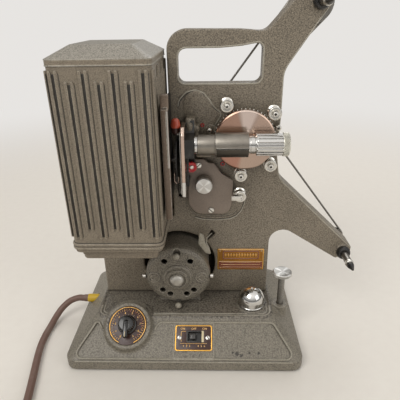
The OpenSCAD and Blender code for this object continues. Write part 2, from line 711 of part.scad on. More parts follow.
// Least distance between stretches of the coil that are more than half a turn apart
coil_gap = min([for (i = [0 : coil_count], j = [i + coil_rings / 2 : 1 : coil_count])
    norm(coil_spiral[i] - coil_spiral[j])]) - cord_d;
echo(coil_gap = coil_gap, coil_length = path_length(coil_path), free_length = path_length(free_path));
module cord_sleeve() {
    color("gold") place() {
        translate([sleeve_x0, cord_y, cord_z]) rotate([0, 90, 0])
            cylinder(r1 = 4.6, r2 = 5.2, h = -deck_x1 + 2 - sleeve_x0);
        rod_x(cord_y, cord_z, -deck_x1 + 1.5, -deck_x1 + 6, 5.2);
    }
}
module power_cord() {
    color("sienna") place() tube(free_path, cord_d / 2, 10);
}
module cord_coil() {
    color("sienna") place() tube(coil_path, cord_d / 2, 6);
}
module plug() {
    x0 = coil_end[0] + coil_tail;
    color("saddlebrown") place() {
        rod_x(coil_end[1], plug_z, x0, x0 + 8, 7);
        translate([x0 + 7.5, coil_end[1], plug_z]) rotate([0, 90, 0]) cylinder(r1 = 8, r2 = plug_r, h = 12);
        rod_x(coil_end[1], plug_z, x0 + 19, x0 + 29, plug_r);
        for (s = [-1, 1])
            block(x0 + 28.5, x0 + 46, coil_end[1] + s * 6.35 - 0.75, coil_end[1] + s * 6.35 + 0.75,
                plug_z - 3.2, plug_z + 3.2);
    }
}

// Casting group
module main_casting() {
    color("gray") place() difference() {
        union() {
            difference() {
                slab_y(rounded(case_corners), face_y, back_y);
                slab_y(rounded(handle_corners), face_y - 1, back_y + 1);
                intersection() {
                    slab_y(rounded(inset(case_corners, case_wall)), front_in_y, back_y + 1);
                    union() {
                        block(-200, 250, front_in_y - 1, back_y + 2, deck_h - 1, handle_z0 - 5);
                    }
                }
            }
            rod_y(lower_x, lower_z, face_y, takeup_belt_y - pulley_w / 2 - 0.4, 9);
            rod_y(upper_x, upper_z, face_y, rewind_belt_y - pulley_w / 2 - 0.4, 9);
            rod_y(lower_x, lower_z, face_y - 2.5, face_y + 1, 7);
            rod_y(upper_x, upper_z, face_y - 2.5, face_y + 1, 7);
            for (p = [main_at, sprocket_at, rewind_at])
                rod_y(p[0], p[1], face_y - (p == rewind_at ? 1.5 : 2), front_in_y + 0.2, 5.4);
            block(case_left + 17, case_left + 21, front_in_y - 1, back_y, main_z - 9, main_z + 9);
            for (p = plate_posts) rod_y(p[0], p[1], front_in_y - 1, back_y, 4);
            for (p = cover_screw_places) rod_y(p[0], p[1], front_in_y - 1, back_y, 4);
        }
        rod_y(motor_x, motor_z, face_y - 1, back_y + 1, motor_open_r);
        block(saddle_x0 - 1, saddle_x1 + 1, face_y - 1, back_y + 1, deck_h - 1, motor_z - 20);
        slab_y([[30, 125.5], [22, 108], [34.5, 120]], face_y - 1, front_in_y + 1);
        block(shutter_gear_x0 - 0.6, pressure_x0 - 0.3, face_y - 1, back_y + 1, main_z - 20,
            shutter_z + shutter_r + 1);
        rod_x(cross_y, main_z, case_left + 1.5, case_left + 30, 2 + fit);
        for (p = [lower_at, upper_at]) rod_y(p[0], p[1], face_y - 10, back_y + 20, 6);
        rod_y(main_x, main_z, face_y - 3, back_y, main_r + 1.2);
        rod_y(sprocket_x, sprocket_z, face_y - 3, back_y, sprocket_shaft_r + 1.2);
        rod_y(rewind_at[0], rewind_at[1], face_y - 3, back_y, 2 + fit);
        rod_y(idler_at[0], idler_at[1], face_y + 1, back_y, 2 + skin);
        for (p = roller_places) rod_y(p[0], p[1], face_y - 5, front_in_y - 1, stud_r + skin);
        for (p = pear_screw_places) rod_y(p[0], p[1], face_y - 1, front_in_y - 1, 1.2);
        for (p = cover_screw_places) rod_y(p[0], p[1], back_y - 7, back_y + 1, 1.6);
        block(-200, 250, face_y - 20, back_y + 40, 0, deck_h);
    }
}
lower_at = [lower_x, lower_z];
upper_at = [upper_x, upper_z];
plate_posts = [
    [works_x0 + 6, works_z1 - 9], [works_x1 - 4, works_z0 + 41], [works_x1 - 6, works_z0 + 9],
    [works_x0 + 8, works_z0 + 6]
];
module rear_cover() {
    color("gray") place() difference() {
        union() {
            difference() {
                slab_y(rounded(cover_corners), back_y, cover_back_y);
                slab_y(rounded(inset(cover_corners, cover_wall)), back_y + cover_wall,
                    cover_back_y - cover_wall);
                intersection() {
                    slab_y(rounded(inset(cover_corners, cover_wall)), back_y - 1, back_y + cover_wall + 1);
                    slab_y(rounded(inset(case_corners, cover_wall)), back_y - 2, back_y + cover_wall + 2);
                }
            }
            for (p = cover_screw_places) rod_y(p[0], p[1], back_y, cover_back_y - 1, 4);
        }
        // Slots for the two reel belts
        block(36, 84, rewind_belt_y - 3.2, rewind_belt_y + 3.2, 262, 280);
        block(80, 100, takeup_belt_y - 3.2, takeup_belt_y + 3.2, 166, 236);
        // Cooling louvres behind the motor
        for (k = [0 : 5]) block(motor_x - 22, motor_x + 22, cover_back_y - 5, cover_back_y + 1,
            motor_z - 24 + 9 * k, motor_z - 20 + 9 * k);
        for (p = cover_screw_places) rod_y(p[0], p[1], back_y - 1, cover_back_y + 1, 1.6);
        block(-200, 250, back_y - 1, cover_back_y + 1, 0, deck_h + 0.2);
        block(saddle_x0 - 1, saddle_x1 + 1, back_y - 1, saddle_y1 + 1, 0, motor_z - 20);
    }
}
module mechanism_plate() {
    color("silver") place() difference() {
        slab_y(rounded(rect(works_x0, works_x1, works_z0, works_z1, 6)), back_y, plate_y);
        rod_y(main_x, main_z, back_y - 1, plate_y + 1, main_r + 1.2);
        rod_y(sprocket_x, sprocket_z, back_y - 1, plate_y + 1, sprocket_shaft_r + 1.2);
        rod_y(rewind_at[0], rewind_at[1], back_y - 1, plate_y + 1, 2 + fit);
        rod_y(idler_at[0], idler_at[1], back_y - 1, plate_y + 1, 2 + skin);
        for (p = cover_screw_places) rod_y(p[0], p[1], back_y - 1, plate_y + 1, 4.5);
        rod_y(34, 170, back_y - 1, plate_y + 1, 6);
    }
}
module mechanism_cover() {
    color("gray") place() difference() {
        slab_y(rounded(pear_corners), face_y - 7, face_y);
        slab_y(rounded(inset(pear_corners, 2)), face_y - 5, face_y + 1);
        rod_y(main_x, main_z, face_y - 8, face_y + 1, 3.6);
        for (p = pear_screw_places) rod_y(p[0], p[1], face_y - 8, face_y + 1, 1.2);
    }
}
plate_x0 = 37;
plate_x1 = 89.8;
plate_z0 = 72.8;
plate_z1 = 100.7;
module nameplate() {
    color("peru") place()
        slab_y(rounded(rect(plate_x0, plate_x1, plate_z0, plate_z1, 2)), face_y - 0.8, face_y);
}
module oil_points() {
    color("red") place() {
        rod_y(8, 202, face_y - 9.4, face_y - 7, 5.3);
        rod_y(8, 202, face_y - 10.2, face_y - 9.3, 1.8);
        rod_y(41.7, 203, face_y - 1.2, face_y, 2.3);
        rod_y(21.5, 243.5, face_y - 1, face_y, 1.8);
    }
}
module bush_y(at, y0, y1, r_out, r_in) {
    difference() {
        rod_y(at[0], at[1], y0, y1, r_out - skin);
        rod_y(at[0], at[1], y0 - 1, y1 + 1, r_in + fit);
    }
}
module shaft_bushes() {
    color("darkkhaki") place() {
        bush_y(lower_at, face_y - 2.5, takeup_belt_y - pulley_w / 2 - 0.3, 6, spindle_r);
        bush_y(upper_at, face_y - 2.5, rewind_belt_y - pulley_w / 2 - 0.3, 6, spindle_r);
        bush_y(main_at, face_y - 2, front_in_y + 0.2, main_r + 1.2, main_r);
        bush_y(main_at, back_y - 0.6, plate_y, main_r + 1.2, main_r);
        bush_y(sprocket_at, face_y - 2, front_in_y + 0.2, sprocket_shaft_r + 1.2, sprocket_shaft_r);
        bush_y(sprocket_at, back_y, plate_y + 0.6, sprocket_shaft_r + 1.2, sprocket_shaft_r);
    }
}
module guide_studs() {
    color("silver") place() {
        for (p = roller_places) {
            rod_y(p[0], p[1], roller_y0 - 2, front_in_y - 1, stud_r);
            rod_y(p[0], p[1], roller_y0 - 2.2, roller_y0 - gap, 2.4);
            difference() {
                rod_y(p[0], p[1], roller_y0 + roller_len + gap, face_y, 3.4);
                rod_y(p[0], p[1], roller_y0 + roller_len, face_y + 1, stud_r - 0.2);
            }
        }
        rod_y(idler_at[0], idler_at[1], face_y + 1, plate_y, 2);
        rod_y(95, 242, face_y - 3, face_y, 2.8);
    }
}
module roller(p) {
    color("white") place() translate([p[0], roller_y0, p[1]]) rotate([-90, 0, 0]) rotate_extrude()
        polygon([[stud_r + fit, 1], [3.6, 1], [4.2, 0], [roller_r - 0.4, 0], [roller_r, 0.5], [roller_r, 1.4],
            [4.6, 2.4], [4.6, roller_len - 2.4], [roller_r, roller_len - 1.4], [roller_r, roller_len],
            [stud_r + fit, roller_len]]);
}
module feed_roller_inner() { roller(feed_inner_at); }
module feed_roller_outer() { roller(feed_outer_at); }
module takeup_roller_outer() { roller(takeup_outer_at); }
module takeup_roller_inner() { roller(takeup_inner_at); }
module loop_roller() { roller(loop_at); }

// Drive group
module sprocket() {
    y0 = sprocket_front_y;
    color("white") place() difference() {
        union() {
            rod_y(sprocket_x, sprocket_z, y0, y0 + sprocket_w, sprocket_r, $fn = 96);
            rod_y(sprocket_x, sprocket_z, y0 + sprocket_w - 1, y0 + sprocket_w + 6, 8);
            for (i = [0 : sprocket_teeth - 1])
                translate([sprocket_x, y0 + 4.5, sprocket_z]) rotate([0, 360 * i / sprocket_teeth, 0])
                    translate([sprocket_r - 0.5, 0, -0.6]) cube([tooth_h + 0.5, 1.2, 1.2]);
        }
        rod_y(sprocket_x, sprocket_z, y0 + 2, y0 + sprocket_w + 1, sprocket_r - 3);
        rod_y(sprocket_x, sprocket_z, y0 - 1, y0 + sprocket_w + 7, sprocket_shaft_r + skin);
    }
    color("white") place() difference() {
        rod_y(sprocket_x, sprocket_z, y0 + 1.9, y0 + sprocket_w + 1, 8);
        rod_y(sprocket_x, sprocket_z, y0 - 1, y0 + sprocket_w + 7, sprocket_shaft_r + skin);
    }
}
module sprocket_shaft() {
    color("silver") place() {
        rod_y(sprocket_x, sprocket_z, sprocket_front_y, lower_shaft_end_y, sprocket_shaft_r);
        gear_y(sprocket_at, second_gear_y, second_gear_y + gear_w, final_teeth, second_module,
            turn_is + 180 + 180 / final_teeth);
        rod_y(sprocket_x, sprocket_z, second_gear_y - 1, second_gear_y + gear_w + 1, 6);
        pulley_y(sprocket_at, takeup_belt_y, takeup_pulley_r, pulley_lip);
    }
}
module idler_gear() {
    color("darkgoldenrod") place() difference() {
        union() {
            gear_y(idler_at, first_gear_y, first_gear_y + gear_w, idler_teeth, first_module, idler_turn);
            gear_y(idler_at, second_gear_y - 0.5, first_gear_y + 0.2, second_pinion_teeth, second_module,
                turn_is);
        }
        rod_y(idler_at[0], idler_at[1], second_gear_y - 2, first_gear_y + gear_w + 1, 2 + fit);
    }
}
module main_shaft() {
    color("silver") place() {
        rod_y(main_x, main_z, face_y - 17, drive_shaft_end_y, main_r);
        translate([main_x, cross_y - bevel_r, main_z]) rotate([-90, 0, 0]) bevel(0);
        gear_y(main_at, first_gear_y, first_gear_y + gear_w, pinion_teeth, first_module, turn_mi);
        pulley_y(main_at, drive_belt_y, main_pulley_r, pulley_lip);
    }
}
module inching_knob() {
    color("white") place() difference() {
        translate([main_x, face_y - 9, main_z]) rotate([90, 0, 0]) {
            cylinder(r = inching_r, h = 8.4, $fn = 64);
            cylinder(r = inching_r - 1, h = 9.4, $fn = 64);
        }
        rod_y(main_x, main_z, face_y - 17.2, face_y - 8, main_r + skin);
    }
}
module cross_shaft() {
    color("silver") place() {
        rod_x(cross_y, main_z, case_left + 1.8, main_x - bevel_r + bevel_face, 2);
        translate([main_x - bevel_r, cross_y, main_z]) rotate([0, 90, 0]) bevel(180 / bevel_teeth);
        gear_x(cross_at, shutter_gear_x0, shutter_gear_x1, shutter_teeth, shutter_module, turn_cs);
    }
}
module shutter_shaft() {
    color("silver") place() {
        rod_x(shutter_y, shutter_z, case_left + 0.5, block_x1 - 1, 2);
        gear_x(shutter_at, shutter_gear_x0, shutter_gear_x1, shutter_teeth, shutter_module,
            turn_cs + 180 + 180 / shutter_teeth);
    }
}
module shutter() {
    color("black") place() difference() {
        union() {
            rod_x(shutter_y, shutter_z, blade_x0 - 0.4, blade_x1, 6);
            difference() {
                rod_x(shutter_y, shutter_z, blade_x0, blade_x1, shutter_r, $fn = 72);
                for (a = [0, 180]) translate([blade_x0 - 1, shutter_y, shutter_z]) rotate([a + 20, 0, 0])
                    translate([0, 5, 12]) cube([3, 18, 30]);
            }
        }
        rod_x(shutter_y, shutter_z, blade_x0 - 2, blade_x1 + 1, 2 + skin);
    }
}
module rewind_shaft() {
    color("silver") place() {
        rod_y(rewind_at[0], rewind_at[1], face_y - 3, upper_shaft_end_y, 2);
        gear_y(rewind_at, first_gear_y, first_gear_y + gear_w, rewind_teeth, first_module, rewind_turn);
        pulley_y(rewind_at, rewind_belt_y, rewind_pulley_r, pulley_lip);
    }
}
module spindle(at, y_end) {
    tip_y = face_y - spindle_len;
    rod_y(at[0], at[1], tip_y + 9, y_end, spindle_r);
    rod_y(at[0], at[1], tip_y + 7, tip_y + 9.5, spindle_r - 1);
    translate([at[0], tip_y + 7.5, at[1]]) rotate([90, 0, 0]) cylinder(r1 = spindle_r - 0.4, r2 = 1, h = 7.5);
    rod_y(at[0], at[1], face_y - 6, face_y - 3, spindle_r + 2);
}
module upper_spindle() {
    color("silver") place() {
        spindle(upper_at, upper_shaft_end_y);
        pulley_y(upper_at, rewind_belt_y, upper_pulley_r, pulley_lip);
    }
}
module lower_spindle() {
    color("silver") place() {
        spindle(lower_at, lower_shaft_end_y);
        pulley_y(lower_at, takeup_belt_y, lower_pulley_r, pulley_lip);
    }
}
module upper_belt() {
    color("dimgray") place() belt_y(rewind_at, rewind_pulley_r, upper_at, upper_pulley_r, rewind_belt_y);
}
module lower_belt() {
    color("dimgray") place() belt_y(sprocket_at, takeup_pulley_r, lower_at, lower_pulley_r, takeup_belt_y);
}
module drive_belt() {
    color("dimgray") place() belt_y(main_at, main_pulley_r, [motor_x, motor_z], motor_pulley_r, drive_belt_y);
}

// Optics group
module lens_holder() {
    color("dimgray") place() difference() {
        union() {
            rod_x(axis_y, axis_z, holder_x0, holder_step_x + 1, holder_rear_r, $fn = 64);
            rod_x(axis_y, axis_z, holder_step_x, holder_x1, holder_r, $fn = 64);
            block(16, 30, axis_y, face_y, axis_z - 14, axis_z - 1);
        }
        rod_x(axis_y, axis_z, holder_x0 - 1, holder_x1 + 1, lens_r + fit);
        block(holder_step_x + 1, holder_x1 + 1, axis_y - 20, axis_y - 5, axis_z - 3.6, axis_z - 2.8);
    }
}
module lens_barrel() {
    color("white") place() difference() {
        union() {
            rod_x(axis_y, axis_z, holder_x0 + focus_in + 2, barrel_x0 + 1, lens_r, $fn = 64);
            rod_x(axis_y, axis_z, barrel_x0, barrel_x1 + 1, lens_front_r - 0.6, $fn = 64);
            for (i = [0 : 17]) translate([barrel_x0, axis_y, axis_z]) rotate([20 * i, 0, 0])
                translate([0, -1, lens_front_r - 2]) cube([barrel_x1 - barrel_x0, 2, 2]);
            rod_x(axis_y, axis_z, barrel_x1 - 0.5, ring_x1, lens_front_r + 0.5, $fn = 64);
        }
        rod_x(axis_y, axis_z, holder_x0, ring_x1 + 1, 6.5);
        rod_x(axis_y, axis_z, ring_x1 - 4, ring_x1 + 1, 8);
    }
}
module lens_glass() {
    color("lightcyan") place() {
        rod_x(axis_y, axis_z, holder_x0 + focus_in + 4, holder_x0 + focus_in + 7, 6.5 - skin);
        translate([ring_x1 - 6, axis_y, axis_z]) rotate([0, 90, 0]) rotate_extrude(convexity = 4)
            polygon([[0, 0], [6.4, 0], [6.4, 2.1], [7.8, 2.1], [7.8, 2.6], [6.6, 3.3], [5, 3.9], [3.4, 4.3],
                [1.7, 4.5], [0, 4.6]]);
    }
}
module gate_block() {
    color("black") place() difference() {
        slab_x([[axis_y - 13, axis_z - 8.7], [axis_y - 2, axis_z - 8.7], [axis_y + 2, axis_z - 13.5],
            [axis_y + 12, axis_z - 13.5], [axis_y + 14, shutter_z - 3.4],
            [face_y - 7.5, shutter_z - 3.4], [face_y - 7.5, shutter_z - 0.3], [face_y, shutter_z - 0.3],
            [face_y, axis_z + 20], [axis_y + 20, axis_z + 20], [axis_y + 14, axis_z + 8],
            [axis_y - 13, axis_z + 8]], aperture_x1, block_x1);
        block(aperture_x1 - 1, claw_x1 + gap, claw_y0 - gap, claw_y1 + gap, axis_z - 20, axis_z - 2);
        rod_x(axis_y, axis_z, aperture_x1 - 1, block_x1 + 1, 5.5);
        rod_x(shutter_y, shutter_z, aperture_x1 - 1, block_x1 - 0.8, 2 + fit);
    }
    color("silver") place() difference() {
        rod_x(axis_y, axis_z, block_x1, holder_x0, 7.4);
        rod_x(axis_y, axis_z, block_x1 - 1, holder_x0 + 1, 5.5);
    }
}
module aperture_plate() {
    color("rosybrown") place() difference() {
        block(aperture_x0, aperture_x1, axis_y - 14, axis_y + 12, aperture_z0, aperture_z1);
        block(aperture_x0 - 1, aperture_x1 + 1, axis_y - 2.4, axis_y + 2.4, axis_z - 1.8, axis_z + 1.8);
        block(aperture_x0 - 1, aperture_x1 + 1, claw_y0 - gap, claw_y1 + gap, axis_z - 14, axis_z - 6);
    }
}
claw_x0 = aperture_x1 + gap;
claw_x1 = claw_x0 + 2.2;
claw_y0 = axis_y + 3.2;
claw_y1 = claw_y0 + 1.1;
module claw() {
    color("silver") place() {
        block(claw_x0, claw_x1, claw_y0, claw_y1, axis_z - 43, axis_z - 6);
        block(claw_x0 - 2.6, claw_x0 + 1, claw_y0, claw_y1, axis_z - 10.5, axis_z - 9.4);
        block(claw_x0, claw_x1, claw_y0, face_y - 7 - gap, axis_z - 43, axis_z - 40);
    }
}
module pressure_plate() {
    color("silver") place() {
        difference() {
            block(pressure_x0, pressure_x1, axis_y - 7, axis_y + 7, pressure_z0, pressure_z1);
            block(pressure_x0 - 1, pressure_x1 + 1, axis_y - 2.6, axis_y + 2.6, axis_z - 2, axis_z + 2);
        }
        rod_z(pressure_x0 - 3, axis_y - 4, pressure_z1 - 3, gate_knob_z1, 4);
        block(pressure_x0 - 3, pressure_x1, axis_y - 6, axis_y - 2, pressure_z1 - 3, pressure_z1);
    }
}
module condenser_plate() {
    color("gray") place() difference() {
        union() {
            block(case_left, condenser_x1, condenser_y0, face_y, condenser_z0, condenser_z1);
            block(case_left, case_left + 5.6, condenser_y0, condenser_y0 + 5, condenser_z0, condenser_z1);
            rod_x(axis_y, axis_z, case_left - 1.8, condenser_x1 + 1, 15);
        }
        rod_x(axis_y, axis_z, case_left - 3, condenser_x1 + 2, 12.5);
        rod_x(shutter_y, shutter_z, case_left - 3, condenser_x1 + 2, 2 + fit);
    }
}
module condenser_lens() {
    color("lightcyan") place() intersection() {
        rod_x(axis_y, axis_z, case_left - 1.5, condenser_x1 + 0.5, 12.5 - skin);
        translate([case_left - 20, axis_y, axis_z]) sphere(r = 23.5, $fn = 96);
    }
}

// Lamp house group
wall_z0 = shoulder_z + 9;
wall_z1 = wall_z0 + lamp_h;
lamp_x = (lamp_left + lamp_right) / 2;
socket_h = 24;
long_ribs = 4;
short_ribs = 3;
rib_w = 2;
rib_pair = 4.6;
rib_edge = 6.4;
bead_h = 6;
pan_drop = 4.7;
cap_plan = rect(lamp_left + 15.8, lamp_right - 15.8, lamp_front + 18.5, lamp_front + lamp_d - 18.5, 2);
lamp_plan = rect(lamp_left, lamp_right, lamp_front, lamp_front + lamp_d, 6);
// Pairs of ribs across a wall that starts at x = 0 and stands towards -y
module rib_row(width) {
    pitch = (width - 2 * rib_edge) / (long_ribs + short_ribs - 1);
    for (i = [0 : long_ribs + short_ribs - 1], s = [-1, 1])
        translate([rib_edge + pitch * i + s * rib_pair / 2 - rib_w / 2, -rib_h, i % 2 == 0 ? 11.5 : 19.5])
            cube([rib_w, rib_h + 0.5, lamp_h - (i % 2 == 0 ? 14.5 : 30.5)]);
}
module lamphouse() {
    color("gray") place() difference() {
        union() {
            translate([0, 0, wall_z0]) linear_extrude(lamp_h) polygon(rounded(lamp_plan));
            translate([0, 0, wall_z0]) linear_extrude(bead_h) polygon(rounded(inset(lamp_plan, -rib_h)));
            translate([lamp_left, lamp_front, wall_z0]) rib_row(lamp_w);
            translate([lamp_right, lamp_front, wall_z0]) rotate([0, 0, 90]) rib_row(lamp_d);
            translate([lamp_left, lamp_front + lamp_d, wall_z0]) rotate([0, 0, -90]) rib_row(lamp_d);
            translate([lamp_right, lamp_front + lamp_d, wall_z0]) rotate([0, 0, 180]) rib_row(lamp_w);
        }
        translate([0, 0, wall_z0 - 1]) linear_extrude(lamp_h + 2)
            polygon(rounded(inset(lamp_plan, lamp_wall)));
        rod_x(axis_y, axis_z, lamp_right - 8, lamp_right + 3, 16);
        for (k = [0 : 4]) block(lamp_x - 25, lamp_x + 25, lamp_front + lamp_d - 4, lamp_front + lamp_d + 3,
            wall_z0 + 112 + 8 * k, wall_z0 + 115 + 8 * k);
    }
}
module lamphouse_cap() {
    z1 = wall_z1 + cap_band;
    color("gray") place() difference() {
        hull() {
            translate([0, 0, wall_z1]) linear_extrude(cap_band) polygon(rounded(inset(lamp_plan, -0.6)));
            translate([0, 0, z1 + cap_rise - 0.5]) linear_extrude(0.5) polygon(rounded(cap_plan));
        }
        hull() {
            translate([0, 0, wall_z1 - 1]) linear_extrude(cap_band) polygon(rounded(inset(lamp_plan, 1.4)));
            translate([0, 0, z1 + cap_rise - 3]) linear_extrude(0.5) polygon(rounded(inset(cap_plan, 1)));
        }
    }
}
module lamp_tray() {
    color("gray") place() {
        translate([0, 0, shoulder_z + 5]) linear_extrude(wall_z0 - gap - shoulder_z - 5)
            polygon(rounded(inset(lamp_plan, 0.2)));
        translate([0, 0, shoulder_z]) linear_extrude(5.1) polygon(rounded(inset(lamp_plan, 5.5)));
        translate([0, 0, shoulder_z - pan_drop]) linear_extrude(pan_drop + 0.1)
            polygon(rounded(rect(lamp_left + 5.5, lamp_right - 5.5, lamp_front + 5.5, face_y - gap, 5)));
        rod_z(lamp_x, axis_y, wall_z0 - 1, wall_z0 + 6, 20);
        rod_z(lamp_x, axis_y, wall_z0 + 5.9, wall_z0 + socket_h, 15);
        block(lamp_x - 26, lamp_x - 24, axis_y - 6, axis_y + 6, wall_z0 - 1, axis_z - 10);
        intersection() {
            block(lamp_x - 35, lamp_x - 20, axis_y - 18, axis_y + 18, axis_z - 18, axis_z + 18);
            difference() {
                translate([lamp_x, axis_y, axis_z]) sphere(r = 27, $fn = 72);
                translate([lamp_x, axis_y, axis_z]) sphere(r = 25.2, $fn = 72);
            }
        }
    }
}
bulb_r = 15.5;
bulb_wall = 1.2;
module lamp_bulb() {
    z0 = wall_z0 + socket_h + 8;
    z1 = wall_z0 + lamp_lift - 22;
    color("lightcyan") place() {
        translate([lamp_x, axis_y, 0]) rotate_extrude($fn = 64) polygon(concat(
            [[bulb_r - bulb_wall, z0], [bulb_r, z0]],
            [for (a = [0 : 9 : 90]) [bulb_r * cos(a), z1 + bulb_r * sin(a)]],
            [for (a = [90 : -9 : 0]) [(bulb_r - bulb_wall) * cos(a), z1 + (bulb_r - bulb_wall) * sin(a)]]
        ));
        rod_z(lamp_x, axis_y, wall_z0 + socket_h, z0 + 8, bulb_r - bulb_wall - skin);
        for (s = [-1, 1]) rod_z(lamp_x, axis_y + 4 * s, z0 + 7, axis_z - 4, 0.8);
        block(lamp_x - 1, lamp_x + 1, axis_y - 5, axis_y + 5, axis_z - 4.2, axis_z + 4.2);
    }
}

// Motor group
motor_at = [motor_x, motor_z];
frame_y0 = bell_y + 10;
frame_y1 = drive_belt_y - pulley_w / 2 - 3;
// Angles of the bell's vent holes, from the x axis
vent_angles = [55, 125, 225, 248, 292, 315];
module motor_frame() {
    color("dimgray") place() {
        difference() {
            rod_y(motor_x, motor_z, frame_y0, frame_y1, motor_r, $fn = 72);
            rod_y(motor_x, motor_z, frame_y0 - 1, frame_y1 - 2.5, motor_r - 3, $fn = 72);
            rod_y(motor_x, motor_z, frame_y1 - 5, frame_y1 + 1, 3 + fit);
            for (a = [30 : 60 : 330]) rod_y(motor_x + 20 * cos(a), motor_z + 20 * sin(a), frame_y1 - 5,
                frame_y1 + 1, 4);
        }
        difference() {
            rod_y(motor_x, motor_z, frame_y0 + 8, frame_y1 - 18, motor_r - 2.9, $fn = 72);
            rod_y(motor_x, motor_z, frame_y0 + 7, frame_y1 - 17, 19);
            for (s = [-1, 1]) block(motor_x - 13, motor_x + 13, frame_y0 + 7, frame_y1 - 17,
                motor_z + s * 21.5 - 4.5, motor_z + s * 21.5 + 4.5);
        }
    }
}
module motor_end_bell() {
    color("gray") place() difference() {
        union() {
            translate([motor_x, frame_y0, motor_z]) rotate([90, 0, 0]) rotate_extrude($fn = 96)
                polygon([[0, 0], [bell_r, 0], [bell_r, 5], [bell_r - 1, 7.6], [bell_r - 3, 9.2],
                    [bell_r - 6, 10], [16.4, 10], [15.8, 12.2], [14.6, 13],
                     [8.6, 13], [8.2, 14.4], [6.8, 16.4], [4.5, 17.7],
                    [0, 18.2]]);
            for (s = [-1, 1]) rod_y(motor_x + s * 26, motor_z, bell_y - 1, bell_y + 1, 6.2);
        }
        translate([motor_x, frame_y0, motor_z]) rotate([90, 0, 0])
            translate([0, 0, -1]) cylinder(r1 = motor_r - 3, r2 = motor_r - 6, h = 8.5);
        rod_y(motor_x, motor_z, bell_y - 3, frame_y0, 3 + fit);
        for (a = vent_angles)
            rod_y(motor_x + 24.5 * cos(a), motor_z + 24.5 * sin(a), bell_y - 3, frame_y0, 3.4);
        rod_y(motor_x, motor_z + bell_r - 5, bell_y - 1, bell_y + 3, 4);
    }
}
module armature() {
    color("silver") place() {
        rod_y(motor_x, motor_z, bell_y - 2.4, drive_shaft_end_y, 3);
        difference() {
            rod_y(motor_x, motor_z, frame_y0 + 8, frame_y1 - 18, 18.4, $fn = 64);
            for (a = [0 : 30 : 330]) translate([motor_x, 0, motor_z]) rotate([0, a, 0])
                block(14, 20, frame_y0 + 7, frame_y1 - 17, -1.2, 1.2);
        }
        rod_y(motor_x, motor_z, frame_y0 - 2, frame_y0 + 6, 8);
        rod_y(motor_x, motor_z, frame_y1 - 12, frame_y1 - 4, 6);
        for (a = [0 : 45 : 315]) translate([motor_x, 0, motor_z]) rotate([0, a, 0])
            block(5, 26, frame_y1 - 11, frame_y1 - 4.5, -0.6, 0.6);
        pulley_y(motor_at, drive_belt_y, motor_pulley_r, pulley_lip);
    }
}

base_casting();
bottom_plate();
rubber_feet();
slotted_screws();
control_plates();
rheostat();
speed_knob();
switch_block();
switch_slider();
pilot_lamp();
pilot_hood();
elevating_foot();
elevating_screw();
cord_sleeve();
power_cord();
cord_coil();
plug();
main_casting();
rear_cover();
mechanism_plate();
mechanism_cover();
nameplate();
oil_points();
shaft_bushes();
guide_studs();
loop_roller();
feed_roller_inner();
feed_roller_outer();
takeup_roller_outer();
takeup_roller_inner();
sprocket();
sprocket_shaft();
idler_gear();
main_shaft();
inching_knob();
cross_shaft();
shutter_shaft();
shutter();
rewind_shaft();
upper_spindle();
lower_spindle();
upper_belt();
lower_belt();
drive_belt();
lens_holder();
lens_barrel();
lens_glass();
gate_block();
aperture_plate();
claw();
pressure_plate();
condenser_plate();
condenser_lens();
lamphouse();
lamphouse_cap();
lamp_tray();
lamp_bulb();
motor_frame();
motor_end_bell();
armature();
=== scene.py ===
from math import acos, atan2, cos, pi, radians, sin, tan

import bmesh
import bpy
from mathutils import Matrix, Vector


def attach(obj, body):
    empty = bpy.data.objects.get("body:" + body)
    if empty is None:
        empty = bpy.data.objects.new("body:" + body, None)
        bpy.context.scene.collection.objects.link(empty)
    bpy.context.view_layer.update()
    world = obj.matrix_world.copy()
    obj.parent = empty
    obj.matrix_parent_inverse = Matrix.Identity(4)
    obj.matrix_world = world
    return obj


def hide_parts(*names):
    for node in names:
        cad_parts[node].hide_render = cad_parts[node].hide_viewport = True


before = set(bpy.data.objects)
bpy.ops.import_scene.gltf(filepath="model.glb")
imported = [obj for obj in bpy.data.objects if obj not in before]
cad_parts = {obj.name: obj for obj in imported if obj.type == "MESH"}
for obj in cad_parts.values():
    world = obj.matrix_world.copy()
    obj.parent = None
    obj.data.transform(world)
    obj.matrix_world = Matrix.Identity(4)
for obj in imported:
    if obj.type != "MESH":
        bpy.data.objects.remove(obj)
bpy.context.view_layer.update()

# Layout points are in mm, x to the right along the lens, y away from the front, z up. The frame's
# origin is the middle of the footprint.
MM = 0.001
SHIFT = Vector((-31.4, -72.5, 0.0))
TO_FRAME = Matrix.Scale(MM, 4) @ Matrix.Translation(SHIFT)
ROOT = "projector"


def at(x, y, z):
    return (Vector((x, y, z)) + SHIFT) * MM


# Camera, as the photograph was taken
TILT, YAW, ROLL = radians(24.83), radians(1.72), radians(-0.93)
FOCAL_PX, IMAGE_PX, SENSOR = 398.9, 400, 36
CAMERA_AT = (-0.00188, -0.38888, 0.34188)
forward = Vector((-sin(YAW) * cos(TILT), cos(YAW) * cos(TILT), -sin(TILT)))
level = Vector((cos(YAW), sin(YAW), 0))
rise = level.cross(forward)
side = level * cos(ROLL) + rise * sin(ROLL)
top = rise * cos(ROLL) - level * sin(ROLL)
camera_data = bpy.data.cameras.new("camera")
camera_data.sensor_width = SENSOR
camera_data.lens = FOCAL_PX / IMAGE_PX * SENSOR
camera_data.clip_start = 0.01
camera = bpy.data.objects.new("camera", camera_data)
bpy.context.scene.collection.objects.link(camera)
camera.matrix_world = Matrix.Translation(CAMERA_AT) @ Matrix((side, top, -forward)).transposed().to_4x4()
bpy.context.scene.camera = camera


